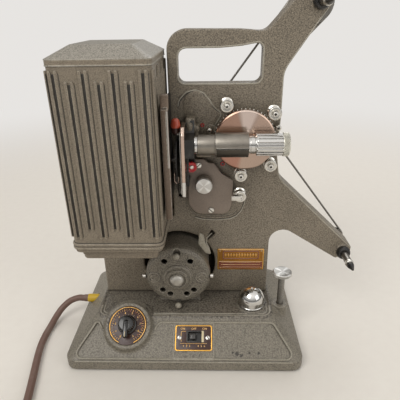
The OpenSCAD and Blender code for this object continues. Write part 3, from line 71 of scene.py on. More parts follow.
# Node graphs, each built in the tree at hand
def lin(code):
    """Linear colour of a six-digit sRGB code"""
    out = []
    for i in (0, 2, 4):
        v = int(code[i:i + 2], 16) / 255
        out.append(v / 12.92 if v <= 0.04045 else ((v + 0.055) / 1.055) ** 2.4)
    return tuple(out) + (1,)


def times(colour, much):
    return tuple(min(1, v * much) for v in colour[:3]) + (1,)


def put(node, **inputs):
    """Fills in a node; a key that starts with _ is a setting, and the rest are inputs"""
    for key, value in inputs.items():
        if key[0] == "_":
            setattr(node, key[1:], value)
            continue
        socket = node.inputs[int(key[1:])] if key[1:].isdigit() else node.inputs[key.replace("_", " ")]
        if isinstance(value, bpy.types.NodeSocket):
            tree.links.new(value, socket)
        else:
            socket.default_value = value
    return node


def add(kind, **inputs):
    return put(tree.nodes.new("ShaderNode" + kind), **inputs)


def calc(operation, a, b=0.0, c=None):
    node = add("Math", _operation=operation, i0=a, i1=b)
    if c is not None:
        node.inputs[2].default_value = c
    return node.outputs[0]


def mul(a, b):
    return calc("MULTIPLY", a, b)


def span(value, a, b, c, d):
    """The value, spread from the range a to b over the range c to d"""
    return add("MapRange", Value=value, From_Min=a, From_Max=b, To_Min=c, To_Max=d).outputs[0]


def blend(factor, a, b, mode="MIX"):
    return add("MixRGB", _blend_type=mode, Fac=factor, Color1=a, Color2=b).outputs[0]


def noise(vector, scale, detail, roughness=0.5):
    return add("TexNoise", Vector=vector, Scale=scale, Detail=detail, Roughness=roughness).outputs["Fac"]


def begin(name):
    """A new material, whose node tree becomes the one that the functions here add to"""
    global tree
    look = bpy.data.materials.new(name)
    look.use_nodes = True
    tree = look.node_tree
    tree.nodes.clear()
    shader = add("BsdfPrincipled")
    add("OutputMaterial", Surface=shader.outputs[0])
    return look, shader, add("TexCoord").outputs["Object"]


def edges(radius):
    """Normal with the edges rounded off, and a mask of where they are"""
    soft = add("Bevel", _samples=6, Radius=radius).outputs[0]
    flat = add("NewGeometry").outputs["Normal"]
    dot = add("VectorMath", _operation="DOT_PRODUCT", i0=soft, i1=flat).outputs["Value"]
    return soft, span(dot, 0.995, 0.93, 0, 1)


def finish(shader, colour, rough, height, strength, depth, normal):
    bump = add("Bump", Strength=strength, Distance=depth, Height=height, Normal=normal)
    put(shader, Base_Color=colour, Roughness=rough, Normal=bump.outputs[0])


def paint(name, code, worn, grain, depth, contrast, rough=0.42, wear=0.6, spots=()):
    """Hammertone enamel: pebbles, cloudy patches, worn edges and painted shade in the corners"""
    look, shader, place = begin(name)
    cells = add("TexVoronoi", _feature="SMOOTH_F1", Vector=place, Scale=1000 / grain,
        Smoothness=0.7).outputs["Distance"]
    grit = noise(place, 1500 / grain, 2, 0.6)
    clouds = noise(place, 22, 5, 0.62)
    height = calc("ADD", cells, mul(grit, 0.7))
    base = lin(code)
    low, high = times(base, 1 - contrast), times(base, 1 + contrast * 1.1)
    colour = blend(span(height, 0.45, 1.15, 1, 0), low, high)
    colour = blend(1, colour, blend(clouds, (0.80, 0.79, 0.77, 1), (1.18, 1.18, 1.17, 1)), "MULTIPLY")
    for (x, y, z), reach in spots:
        away = add("VectorMath", _operation="DISTANCE", i0=place, i1=at(x, y, z)).outputs["Value"]
        ragged = calc("ADD", calc("DIVIDE", away, reach * MM), mul(noise(place, 700, 4, 0.7), 1.6))
        colour = blend(span(ragged, 1.25, 1.55, 0.85, 0), colour, lin("2a2622"))
    soft, mask = edges(0.0011)
    rubbed = mul(mask, span(noise(place, 160, 4, 0.7), 0.38, 0.62, 0.15, wear))
    colour = blend(rubbed, colour, lin(worn))
    # Painted shade: darker where ambient occlusion finds corners and creases
    corner_shade = add("AmbientOcclusion", _samples=6, Distance=0.007).outputs["AO"]
    colour = blend(span(corner_shade, 0.25, 0.8, 0.55, 0), colour, lin("3a352e"))
    finish(shader, colour, span(height, 0.4, 1.2, rough - 0.07, rough + 0.12), height, 0.55, depth * MM, soft)
    put(shader, Specular_IOR_Level=0.5)
    return look


def metal(name, code, rough, dull, grain=(1, 1, 1), scale=240, tarnish="6b5f50", aniso=0, axis=None, depth=0.02,
        wedges=()):
    """Bare metal: fine marks along a direction, faint tarnish, painted highlight on the edges, wedges of painted
    sheen and reflection, painted shade in the corners
    """
    look, shader, place = begin(name)
    marks = add("VectorMath", _operation="MULTIPLY", i0=place, i1=grain).outputs[0]
    if axis:
        parts = add("SeparateXYZ", Vector=place)
        two = [parts.outputs[k] for k in "XYZ" if k != axis]
        square = calc("ADD", mul(two[0], two[0]), mul(two[1], two[1]))
        reach = calc("SQRT", square)
        marks = add("CombineXYZ", X=mul(reach, 12), Y=mul(parts.outputs[axis], 6)).outputs[0]
    fine = noise(marks, scale, 4, 0.65)
    clouds = noise(place, 55, 4, 0.6)
    base = lin(code)
    colour = blend(fine, times(base, 0.84), base)
    colour = blend(mul(span(clouds, 0.42, 0.72, 0, 1), dull), colour, lin(tarnish))
    # Wedges of painted sheen and reflection round the axis
    if wedges:
        bearing = calc("ARCTAN2", two[1], two[0])
        for middle, half, soft_edge, code2, much in wedges:
            off = calc("ABSOLUTE", calc("WRAP", calc("SUBTRACT", bearing, radians(middle)), pi, -pi))
            mask = span(off, radians(half), radians(half + soft_edge), much, 0)
            colour = blend(mask, colour, lin(code2))
    # Painted highlight along the edges
    soft, mask = edges(0.00035)
    colour = blend(mul(mask, 0.5), colour, lin("f2efe8"))
    # Painted shade: darker where ambient occlusion finds corners
    corner_shade = add("AmbientOcclusion", _samples=4, Distance=0.004).outputs["AO"]
    colour = blend(span(corner_shade, 0.2, 0.7, 0.45, 0), colour, lin("241f1a"))
    roughness = calc("ADD", span(fine, 0.3, 0.7, rough * 0.7, rough * 1.35), mul(clouds, 0.08))
    finish(shader, colour, roughness, fine, 0.25, depth * MM, soft)
    put(shader, Metallic=1.0)
    if aniso:
        tangent = add("Tangent", _direction_type="RADIAL", _axis=axis or "Z").outputs[0]
        put(shader, Anisotropic=aniso, Tangent=tangent)
    return look


def plastic(name, code, rough, grain=2400, bump=0.02, dusty=0.25, coat=0):
    """Moulded plastic, enamel or rubber: fine grain, dust and rubbed edges"""
    look, shader, place = begin(name)
    fine = noise(place, grain, 3, 0.6)
    clouds = noise(place, 70, 5, 0.65)
    base, dust = lin(code), lin("8d877c")
    low, high = times(base, 0.8), times(base, 1.2)
    colour = blend(mul(calc("ADD", fine, clouds), 0.5), low, high)
    colour = blend(mul(span(clouds, 0.5, 0.8, 0, 1), dusty), colour, dust)
    soft, mask = edges(0.0004)
    colour = blend(mul(mask, 0.35), colour, dust)
    finish(shader, colour, span(clouds, 0.3, 0.7, rough - 0.06, rough + 0.1), fine, 0.4, bump * MM, soft)
    if coat:
        put(shader, Coat_Weight=coat, Coat_Roughness=0.12)
    return look


def glass(name, code):
    look, shader, place = begin(name)
    spots = noise(place, 130, 5, 0.7)
    colour = blend(spots, lin(code), lin("ffffff"))
    soft, mask = edges(0.0003)
    finish(shader, colour, span(spots, 0.4, 0.8, 0.01, 0.08), spots, 0.05, 0.00001, soft)
    put(shader, Transmission_Weight=1.0, IOR=1.5)
    return look


HAMMER = paint("hammer_case", "7a7163", "c8bfae", 1.2, 0.3, 0.48, wear=0.85)
HAMMER_BASE = paint("hammer_base", "7b7569", "bdb5a7", 1.35, 0.3, 0.36, wear=0.75,
    spots=[((56.5, -3.2, 18.6), 3.6), ((61, -4.6, 17.5), 2.6), ((52, -2.2, 19.3), 2.2), ((69.5, -2.4, 19.1), 2),
    ((79, -2.6, 19), 2.2), ((17.2, -4.4, 17.7), 2.2)])
# The deck's coarser crinkle, darker than the slopes, partly as painted shade from the lamp house above
DECK_PAINT_SHADED = paint("crinkle_deck_shaded", "6c665c", "aba395", 1.9, 0.5, 0.62, rough=0.38)
# A paler hammertone: the pale paint of the motor's balls, arm and wire, and painted highlight along raised beads,
# rims and seams
RIDGE_PALE_AND_HIGHLIGHT = paint("hammer_ridge_pale_and_highlight", "969082", "c6bfb1", 1, 0.15, 0.25, rough=0.34, wear=0.8)
CRINKLE = paint("crinkle_lamp_house", "7b7162", "c6bca8", 0.85, 0.2, 0.3, rough=0.42, wear=0.8)
# The roof facets in a paler copy of the lamp house crinkle: painted light falling on them from above
ROOF_PAINT_LIT = paint("crinkle_roof_lit", "8d887e", "c4bcae", 1, 0.2, 0.42, rough=0.4, wear=0.7)
SATIN = paint("satin_cover", "82756a", "a19583", 0.9, 0.05, 0.1, rough=0.36, wear=0.5)
SILVER_PAINT = paint("motor_paint", "6f695e", "bfb7a8", 1.1, 0.3, 0.6, rough=0.36, wear=0.9)
CHROME = metal("chrome", "dcdbd8", 0.07, 0.1, scale=600, depth=0.004)
NICKEL = metal("nickel", "e0ddd5", 0.2, 0.12, axis="Y", aniso=0.3, depth=0.01)
BRIGHT = metal("bright_nickel", "eeebe4", 0.3, 0.12, depth=0.008)
RING_METAL = metal("yellowed_nickel", "e6e4d6", 0.24, 0.2, depth=0.01)
STEEL = metal("steel", "8f8c86", 0.32, 0.35, scale=300)
# Darker steel, used only as painted shade on the underside of the lens holder
STEEL_PAINTED_SHADE = metal("steel_painted_shade", "55524d", 0.38, 0.4, scale=300)
# Sprocket face: its coloured wedges are painted reflections in the turned face
COPPER_FACE = metal("sprocket_face", "b5a093", 0.13, 0.12, axis="Y", aniso=0.75, tarnish="9b7464", depth=0.004,
    wedges=((135, 26, 6, "a5806d", 0.75), (84, 12, 8, "dccabf", 0.7), (35, 22, 10, "b99e8c", 0.6),
    (236, 20, 6, "a97463", 0.7), (290, 28, 12, "bba596", 0.5)))
LENS_GREY = metal("lens_holder_grey", "9b958c", 0.34, 0.3, scale=420, tarnish="5d574e", depth=0.012)
PLATE_BROWN = paint("worn_brown_plate", "6a5a4c", "d9d2c6", 0.8, 0.1, 0.25, rough=0.34, wear=1.0)
SHEEN = tuple((a, 4, 16, "f6f6f4", 0.75) for a in (45, 135, 225, 315))
TURNED = metal("turned_aluminium", "dedcd8", 0.36, 0.08, axis="Y", aniso=0.8, depth=0.012, wedges=SHEEN)
TURNED_Z = metal("turned_knob", "c2c1bd", 0.32, 0.12, axis="Z", aniso=0.75, depth=0.012, wedges=SHEEN)
TURNED_X = metal("turned_barrel", "e0e0de", 0.13, 0.08, axis="X", aniso=0.3, depth=0.008)
BRASS = metal("brass", "c9a765", 0.25, 0.3)
BRONZE = metal("bronze", "a57b4f", 0.35, 0.4)
GOLD = metal("gilt_line", "f0b650", 0.36, 0.1, tarnish="8a5d2c")
COPPER = metal("winding", "7d4a32", 0.4, 0.4, scale=500)
PINK_STEEL = metal("gate_steel", "d3bcae", 0.16, 0.2, grain=(1, 1, 0.15), tarnish="8a6a5a")
BLACK = plastic("black_gloss", "0b0b0c", 0.22, dusty=0.06, coat=0.3)
HUB = metal("hub_grey", "c6c2ba", 0.4, 0.3, depth=0.012)
BLACK_SATIN = plastic("black_satin", "1b1a19", 0.38)
BROWN = plastic("enamel_brown", "3a1f17", 0.3, dusty=0.12)
NAME_RED = plastic("nameplate_red", "7b3d27", 0.3, dusty=0.12)
NAME_GOLD = metal("nameplate_gold", "b88340", 0.42, 0.35, tarnish="7a4a22")
SCALE_RED = plastic("scale_red_brown", "37190f", 0.34, dusty=0.08)
RED = plastic("red_enamel", "c01722", 0.25, dusty=0.08, coat=0.4)
ORANGE = plastic("orange_knob", "b0482f", 0.3, dusty=0.15, coat=0.3)
YELLOW = plastic("yellow_sleeve", "c9a51f", 0.45, dusty=0.25)
RUBBER = plastic("brown_rubber", "6d5348", 0.5, grain=1400, bump=0.05, dusty=0.3)
FEET = plastic("black_rubber", "1c1b1a", 0.65, bump=0.06)
CREAM = plastic("cream", "d8c9a4", 0.45, dusty=0.1)
CLEAR = glass("clear_glass", "e8f2f0")
LAMP = glass("lamp_glass", "f2efe2")
# Dark brown-grey: the real screw slots, split line and hub dimples, and painted shade in the lamp house's rib
# channels and creases and beside the case's seams
GROOVE_AND_SHADE = plastic("groove_dark_and_painted_shade", "2b2722", 0.6, dusty=0.2)


# Geometry, in layout mm, as one bmesh a part
LEFT, RIGHT, NEAR, BACK, UP = (-1, 0, 0), (1, 0, 0), (0, -1, 0), (0, 1, 0), (0, 0, 1)
move = Matrix.Translation


def fillet(points, closed=True, steps=5):
    """Corner points [u, v, radius] as a line with rounded corners"""
    out = []
    count = len(points)
    for i, p in enumerate(points):
        b = Vector(p[:2])
        r = p[2] if len(p) > 2 else 0
        if r <= 0 or (not closed and i in (0, count - 1)):
            out.append(tuple(b))
            continue
        a, c = Vector(points[i - 1][:2]), Vector(points[(i + 1) % count][:2])
        d1, d2 = (a - b).normalized(), (c - b).normalized()
        angle = acos(max(-1.0, min(1, d1.dot(d2))))
        if angle > pi - 0.03:
            out.append(tuple(b))
            continue
        cut = min(r / tan(angle / 2), (a - b).length * 0.49, (c - b).length * 0.49)
        radius = cut * tan(angle / 2)
        middle = b + (d1 + d2).normalized() * (radius / sin(angle / 2))
        s, e = b + d1 * cut - middle, b + d2 * cut - middle
        a0 = atan2(s.y, s.x)
        turn = (atan2(e.y, e.x) - a0 + pi) % (2 * pi) - pi
        out += [(middle.x + radius * cos(a0 + turn * k / steps), middle.y + radius * sin(a0 + turn * k / steps))
            for k in range(steps + 1)]
    return out


def box_line(x0, x1, y0, y1, r=0, steps=5):
    return fillet([(x0, y0, r), (x1, y0, r), (x1, y1, r), (x0, y1, r)], steps=steps)


def arc(u, v, r, angles, r2=None):
    """Points of a circle, or of an oval with r2 as its second radius, at the angles in degrees"""
    return [(u + r * cos(radians(a)), v + (r2 or r) * sin(radians(a))) for a in angles]


def circle(u, v, r):
    return [(u + r * cos(2 * pi * k / 48), v + r * sin(2 * pi * k / 48)) for k in range(48)]


def round_ring(bm, centre, u, v, r, n):
    return [bm.verts.new(centre + (u * cos(2 * pi * k / n) + v * sin(2 * pi * k / n)) * r) for k in range(n)]


def skin(bm, pairs, n):
    """Faces between pairs of rings, where a ring may be one point n times"""
    for lo, hi in pairs:
        for k in range(n):
            corners = list(dict.fromkeys([lo[k], lo[(k + 1) % n], hi[(k + 1) % n], hi[k]]))
            if len(corners) > 2:
                bm.faces.new(corners)


def lathe(profile, centre, axis, n, loop=False):
    """A profile of (radius, height) turned round the axis through centre"""
    bm = bmesh.new()
    axis = Vector(axis).normalized()
    u = axis.orthogonal().normalized()
    v = axis.cross(u)
    rings = []
    for r, h in profile:
        c = Vector(centre) + axis * h
        rings.append([bm.verts.new(c)] * n if r < 1e-4 else round_ring(bm, c, u, v, r, n))
    if loop:
        rings.append(rings[0])
    skin(bm, zip(rings, rings[1:]), n)
    return bm


def turned(points, centre, axis, n, loop=False):
    """A lathe part whose profile corners [r, h, radius] are rounded"""
    return lathe(fillet(points, closed=loop, steps=3), centre, axis, n, loop)


def ball(centre, r):
    line = [(r * sin(radians(a)), -r * cos(radians(a))) for a in range(0, 181, 12)]
    return lathe([(0, -r)] + line[1:-1] + [(0, r)], centre, UP, 28)


# Planes for outlines: (x, z) with depth y, and (y, z) with depth x
FRONT = Matrix(((1, 0, 0, 0), (0, 0, 1, 0), (0, 1, 0, 0), (0, 0, 0, 1)))
SIDE = Matrix(((0, 0, 1, 0), (1, 0, 0, 0), (0, 1, 0, 0), (0, 0, 0, 1)))
SLOPE = atan2(27.5, 37)


def slope(x=0.0, t=0.0):
    """Frame of the base's front slope, with w outward"""
    c, s = cos(SLOPE), sin(SLOPE)
    turn = Matrix(((1, 0, 0, 0), (0, c, -s, 0), (0, s, c, 0), (0, 0, 0, 1)))
    return move((x, t * c - 10, 13.5 + t * s)) @ turn


def settled(ob):
    bpy.context.view_layer.update()
    mesh = bpy.data.meshes.new_from_object(ob.evaluated_get(bpy.context.evaluated_depsgraph_get()))
    data = ob.data
    bpy.data.objects.remove(ob)
    kind = bpy.data.meshes if isinstance(data, bpy.types.Mesh) else bpy.data.curves
    kind.remove(data)
    return mesh


def meshed(bm, name="work"):
    """The mesh of a bmesh, which is freed"""
    mesh = bpy.data.meshes.new(name)
    bm.to_mesh(mesh)
    bm.free()
    return mesh


def as_object(data, name="work"):
    ob = bpy.data.objects.new(name, data)
    bpy.context.scene.collection.objects.link(ob)
    return ob


def filled(curve, plane, w0, w1):
    """The mesh of a filled curve, laid in the plane midway between w0 and w1"""
    mesh = settled(as_object(curve))
    mesh.transform(plane @ move((0, 0, (w0 + w1) / 2)))
    bm = bmesh.new()
    bm.from_mesh(mesh)
    bpy.data.meshes.remove(mesh)
    bmesh.ops.remove_doubles(bm, verts=bm.verts, dist=0.0005)
    return bm


def plate(lines, w0, w1, bevel, plane=FRONT, steps=1):
    """Outline and holes in (u, v), from w0 to w1, with rounded rims"""
    curve = bpy.data.curves.new("work", "CURVE")
    curve.dimensions = "2D"
    curve.fill_mode = "BOTH"
    for line in lines:
        spline = curve.splines.new("POLY")
        spline.points.add(len(line) - 1)
        for p, (u, v) in zip(spline.points, line):
            p.co = (u, v, 0, 1)
        spline.use_cyclic_u = True
    curve.extrude = (w1 - w0) / 2 - bevel
    curve.bevel_depth = bevel
    curve.bevel_resolution = steps
    curve.offset = -bevel
    return filled(curve, plane, w0, w1)


def block(x0, x1, y0, y1, z0, z1, r=0.4, plane=None, segments=2):
    bm = bmesh.new()
    bmesh.ops.create_cube(bm, size=1.0)
    for v in bm.verts:
        v.co = Vector((x0 + (x1 - x0) * (v.co.x + 0.5), y0 + (y1 - y0) * (v.co.y + 0.5),
            z0 + (z1 - z0) * (v.co.z + 0.5)))
    if r:
        bmesh.ops.bevel(bm, geom=bm.edges[:], offset=r, segments=segments, profile=0.5, affect="EDGES")
    if plane is not None:
        bm.transform(plane)
    return bm


def around(place, axis, angles, look, *box, segments=2):
    """Blocks turned about an axis of the place, one for each angle in degrees"""
    return [(block(*box, place @ Matrix.Rotation(radians(a), 4, axis), segments), look) for a in angles]


def tube(points, r, n=12, cyclic=False, wave=None):
    """A round tube along the points; wave gives a radius factor for each point"""
    bm = bmesh.new()
    points = [Vector(p) for p in points]
    count = len(points)
    rings = []
    normal = None
    for i, p in enumerate(points):
        a = points[i - 1] if i or cyclic else p
        b = points[(i + 1) % count] if i < count - 1 or cyclic else p
        d = (b - a).normalized()
        if normal is None:
            normal = d.orthogonal().normalized()
        normal = (normal - d * normal.dot(d)).normalized()
        other = d.cross(normal)
        radius = r * (wave(i) if wave else 1.0)
        rings.append(round_ring(bm, p, normal, other, radius, n))
    pairs = list(zip(rings, rings[1:]))
    if cyclic:
        pairs.append((rings[-1], rings[0]))
    skin(bm, pairs, n)
    if not cyclic:
        bm.faces.new(rings[0])
        bm.faces.new(rings[-1])
    return bm


def words(text, size, plane, w0, w1):
    """Plain figures as thin raised letters, centred in the plane"""
    curve = bpy.data.curves.new("work", "FONT")
    curve.body = text
    curve.size = size
    curve.align_x = "CENTER"
    curve.align_y = "CENTER"
    curve.extrude = (w1 - w0) / 2
    return filled(curve, plane, w0, w1)


def smooth_shade(mesh, angle):
    mesh.polygons.foreach_set("use_smooth", [True] * len(mesh.polygons))
    mesh.set_sharp_from_angle(angle=radians(angle))


def pour(whole, part, index=0):
    """Moves a part's faces into a whole"""
    bmesh.ops.recalc_face_normals(part, faces=part.faces[:])
    for f in part.faces:
        f.material_index = index
    held = meshed(part)
    whole.from_mesh(held)
    bpy.data.meshes.remove(held)


def piece(name, body, parts, nodes=(), angle=32, origin=None):
    """One object of (bmesh, material) parts, riding on a body and standing for CAD nodes"""
    whole = bmesh.new()
    looks = []
    for part, look in parts:
        if look not in looks:
            looks.append(look)
        pour(whole, part, looks.index(look))
    centre = at(*origin) if origin else Vector((0, 0, 0))
    whole.transform(move(-centre) @ TO_FRAME)
    mesh = meshed(whole, name)
    for look in looks:
        mesh.materials.append(look)
    smooth_shade(mesh, angle)
    ob = as_object(mesh, name)
    ob.location = centre
    bpy.context.view_layer.update()
    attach(ob, body)
    if nodes:
        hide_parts(*([nodes] if isinstance(nodes, str) else nodes))
    return ob


def cast(name, node, body, look, voxel, rounds, extras=(), ridges=(), top=None, highlight_look=None):
    """A CAD node's shape, with further solids, melted into one casting with soft fillets

    ridges are laid on it unmelted, in the paler look given for painted highlight if there is one, and top is a
    second look with a test for its faces."""
    bm = bmesh.new()
    bm.from_mesh(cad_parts[node].data)
    bmesh.ops.remove_doubles(bm, verts=bm.verts, dist=1e-6)
    for extra in extras:
        extra.transform(TO_FRAME)
        pour(bm, extra)
    ob = as_object(meshed(bm))
    remesh = ob.modifiers.new("remesh", "REMESH")
    remesh.mode = "VOXEL"
    remesh.voxel_size = voxel * MM
    melt = ob.modifiers.new("melt", "SMOOTH")
    melt.factor = 0.5
    melt.iterations = rounds
    ob.modifiers.new("thin", "DECIMATE").ratio = 0.5
    mesh = settled(ob)
    mesh.name = name
    mesh.materials.clear()
    mesh.materials.append(look)
    bm = bmesh.new()
    bm.from_mesh(mesh)
    for f in bm.faces:
        f.material_index = 0
    if top:
        mesh.materials.append(top[0])
        for f in bm.faces:
            f.material_index = int(top[1](f.calc_center_median() / MM - SHIFT, f.normal))
    if highlight_look:
        mesh.materials.append(highlight_look)
    for line in ridges:
        line.transform(TO_FRAME)
        pour(bm, line, len(mesh.materials) - 1 if highlight_look else 0)
    bm.to_mesh(mesh)
    bm.free()
    smooth_shade(mesh, 50)
    ob = as_object(mesh, name)
    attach(ob, body)
    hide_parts(node)


def dress(look, *nodes):
    for node in nodes:
        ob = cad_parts[node]
        ob.data.materials.clear()
        ob.data.materials.append(look)


# Cord: the free run, the coil and its plug, on the same line as the CAD solids
def spread(points, n):
    """Catmull-Rom through the points, n steps a span"""
    held = [points[0]] + points + [points[-1]]
    out = []
    for p, q, r, s in zip(held, held[1:], held[2:], held[3:]):
        for k in range(n):
            t = k / n
            out.append(tuple(
                0.5 * (2 * b + (c - a) * t + (2 * a - 5 * b + 4 * c - d) * t * t
                       + (3 * b - a - 3 * c + d) * t ** 3)
                for a, b, c, d in zip(p, q, r, s)))
    return out + [points[-1]]


COIL_AT, COIL_TURNS, COIL_R, COIL_STEP, CORD_R = (-88, -130), 5.25, 56, 8.6, 4
free_points = [(-131, 81, 24), (-136, 81, 24), (-146, 79, 21), (-155, 73, 15), (-161, 64, 8.5), (-164, 52, 4.5),
    (-165, 38, 4), (-164, 20, 4), (-160, -2, 4), (-155, -25, 4), (-150, -50, 4), (-146, -76, 4), (-144, -102, 4),
    (-144, -118, 4)]


def coil_point(t):
    r = COIL_R - COIL_STEP * min(t, COIL_TURNS - t)
    lift = max(0, min(1, (t - 2.375) / 0.5))
    a = radians(180 + 360 * t)
    return (COIL_AT[0] + r * cos(a), COIL_AT[1] + r * sin(a), 4 + COIL_STEP * lift * lift * (3 - 2 * lift))


coil_line = [coil_point(k / 36) for k in range(int(COIL_TURNS * 36) + 1)]
cord_line = [(-128, 81, 24)] + spread(free_points, 4) + [(-144, -122, 4), (-144, -126, 4)] + coil_line
cord_line += [(COIL_AT[0] + d, COIL_AT[1] - COIL_R, 12.6) for d in (4, 8, 16, 24, 32)]
cord_curve = bpy.data.curves.new("power_lead", "CURVE")
cord_curve.dimensions = "3D"
cord_spline = cord_curve.splines.new("POLY")
cord_spline.points.add(len(cord_line) - 1)
for p, q in zip(cord_spline.points, cord_line):
    p.co = (*at(*q), 1)
cord_curve.bevel_depth = (CORD_R - 0.16) * MM
cord_curve.bevel_resolution = 6
cord_curve.use_fill_caps = True
cord_curve.materials.append(RUBBER)
cord = as_object(cord_curve, "power_lead")
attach(cord, ROOT)
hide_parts("power_cord", "cord_coil")

PLUG_AT, BLADE_APART = (-56, -186, 12.6), 12.7
plug_profile = [(4.1, 0), (7, 0, 0.8), (7, 2.4, 0.6), (5.6, 3, 0.4), (5.6, 4, 0.4), (7, 4.6, 0.6), (7, 8, 0.5),
    (8, 8.6, 0.6), (12.1, 20, 3), (12.1, 29, 1.2), (0, 29)]
plug_parts = [(turned(plug_profile, PLUG_AT, RIGHT, 48), BROWN)]
for s in (-1, 1):
    y = PLUG_AT[1] + s * BLADE_APART / 2
    plug_parts.append((block(-28, -10, y - 0.75, y + 0.75, 9.4, 15.8, 0.35), BRASS))
plug_parts += around(move(PLUG_AT), "X", range(0, 360, 30), BROWN, 21, 27, -1, 1, 11.6, 12.4, 0.3)
plug = piece("plug_moulded", ROOT, plug_parts, "plug")

SLEEVE_AT = (-95.5, 81, 24)
sleeve_profile = [(0, 0), (5.2, 0, 0.3), (5.2, 3, 0.3), (4.7, 3.6, 0.3), (4.7, 5, 0.3), (5.1, 5.6, 0.3), (5, 12, 2),
    (4.95, 13, 0.3), (4.95, 27.6, 0.6), (4.05, 27.9)]
sleeve_end = [(4, 27.4), (4.35, 27.4), (4.3, 32.4, 0.3), (4, 32.5)]
sleeve = [(turned(sleeve_profile, SLEEVE_AT, LEFT, 40), YELLOW), (turned(sleeve_end, SLEEVE_AT, LEFT, 40), RUBBER)]
piece("sleeve_yellow", ROOT, sleeve, "cord_sleeve")

# Base
DIAL_X, DIAL_T, SWITCH_X, SWITCH_T = -60.4, 35.8, 10.6, 24
dial = slope(DIAL_X, DIAL_T)
dial_c, dial_n = dial.translation, dial.to_3x3() @ Vector(UP)


def bead(points, r):
    """A raised line on the front slope, through [x, t] points"""
    return tube([slope() @ Vector((x, t, 0.5)) for x, t in points], r, 10)


edge_line = fillet([(-94.6, 46), (-94.6, 29.9, 8), (94.6, 29.9, 8), (94.6, 46)], closed=False, steps=6)
inner_line = fillet([(-91.4, 46), (-91.4, 33.1, 6), (91.4, 33.1, 6), (91.4, 46)], closed=False, steps=6)
low_t, high_t, low_x, high_x = 2.7, 40.4, 117.6, 96.5
right_run = fillet([(-40, low_t), (low_x, low_t, 6), (high_x, high_t, 7), (DIAL_X + 33, high_t, 5),
    (DIAL_X + 28.4, high_t - 8)], closed=False)
left_run = fillet([(-40, low_t), (-low_x, low_t, 6), (-high_x, high_t, 7), (DIAL_X - 33, high_t, 4),
    (DIAL_X - 28.6, high_t - 7)], closed=False)
# The beads are laid in the paler paint, as painted highlight along them
base_ridges = [bead(right_run, 1), bead(left_run, 1), tube([(x, y, 41.15) for x, y in edge_line], 0.95, 10),
    tube([(x, y, 41.1) for x, y in inner_line], 0.6, 8), bead([(-114, -0.1), (114, -0.1)], 0.75)]
for x in (-21.6, 21.6):
    base_ridges.append(bead([(SWITCH_X + x, 3.5), (SWITCH_X + x, 39.8)], 0.35))
collar = fillet([(22.6, -10), (30, -2.5), (25.9, 2, 2.5), (24.5, 6.9, 1), (22.6, 6.9)], False, 6)
cast("base_shell", "base_casting", ROOT, HAMMER_BASE, 0.8, 3,
    extras=[lathe(collar, dial_c, dial_n, 72, loop=True)], ridges=base_ridges, highlight_look=RIDGE_PALE_AND_HIGHLIGHT,
    top=(DECK_PAINT_SHADED, lambda c, n: 40.2 < c.z < 48 and n.z > 0.5))

# Speed dial
ring = tube([dial @ Vector((u, v, 7.15)) for u, v in arc(0, 0, 19.2, [-66 + 312 * k / 60 for k in range(61)])],
    0.62, 10)
dial_parts = [(turned([(0, 6), (20.5, 6, 0.2), (20.5, 7.2, 0.3), (0, 7.2)], dial_c, dial_n, 72), SCALE_RED),
    (ring, GOLD)]
for k in range(37):
    inner_r = 17.3 - (2.2 if k % 4 == 0 else 1.2)
    dial_parts += around(dial, "Z", [-60 + 300 * k / 36], GOLD, inner_r, 17.3, -0.17, 0.17, 7.1, 7.36, 0)
dial_parts += around(dial, "Z", range(-60, 241, 30), CREAM, 10.3, 12, -0.13, 0.13, 7.1, 7.34, 0)
dots = [-52 + 284 * k / 23 for k in range(24)]
dial_parts += around(dial, "Z", dots, ORANGE, 14.9, 15.5, -0.5, 0.5, 7.1, 7.3, 0)
for k, (u, v) in enumerate(arc(0, 0, 13.4, [240 - 300 * k / 9 for k in range(10)])):
    dial_parts.append((words(str(k), 3, dial @ move((u, v, 0)), 7.1, 7.34), GOLD))
piece("dial_plate", ROOT, dial_parts, origin=tuple(dial_c))

# Switch plate
PAD = slope(SWITCH_X, SWITCH_T)
window = box_line(-6, 8.4, -3.4, 6.2, 0.6)
frame_line = [box_line(-19.75, 19.75, -13.25, 13.25, 2.4), box_line(-18.6, 18.6, -12.1, 12.1, 1.8)]
switch_parts = [(plate([box_line(-19, 19, -12.5, 12.5, 1.8), window], 1.25, 2.05, 0.15, PAD), SCALE_RED),
    (plate(frame_line, 1.25, 2.25, 0.2, PAD), GOLD),
    (plate([box_line(-7.6, 10.6, -4.6, 7.4, 0.8), window], 1.9, 2.3, 0.08, PAD), BLACK_SATIN),
    (block(8.5, 10.9, -4.4, 7.2, 2, 2.9, 0.15, PAD), CREAM)]
for x, text, y in ((-11.8, "ON", 9.4), (0.2, "OFF", 9.4), (11.8, "ON", 9.4), (-7.5, "1  2  3", -8.3),
        (8.2, "4  5  6", -8.3)):
    switch_parts.append((words(text, 3.1, PAD @ move((x, y, 0)), 1.95, 2.2), GOLD))
for x0, x1, y0, y1 in ((-13.6, -8.4, 6.6, 6.95), (-13.6, -13.25, -4, 6.8), (-2.4, -2, 7.9, 8.2),
        (-14, 14, -5.9, -5.6)):
    switch_parts.append((block(x0, x1, y0, y1, 1.95, 2.2, 0, PAD), GOLD))
piece("switch_plate", ROOT, switch_parts, "control_plates")

# Speed knob
knob = [(turned([(0, 7.9), (10, 7.9, 0.6), (10, 10.9, 0.7), (8.4, 11.3, 0.4), (8, 18.9, 1.4), (0, 18.9)], dial_c,
    dial_n, 64), BLACK)]
knob += around(dial, "Z", range(0, 360, 15), BLACK, 7.5, 8.75, -0.42, 0.42, 11, 17.8, 0.3)
knob.append((block(-2.6, 2.6, -14.5, 3.5, 11.4, 19.9, 1.5, dial, 3), BLACK))
knob.append((block(-0.35, 0.35, -14.2, -8.5, 19.6, 20, 0.1, dial), CREAM))
piece("knob_pointer", "speed_dial", knob, "speed_knob")

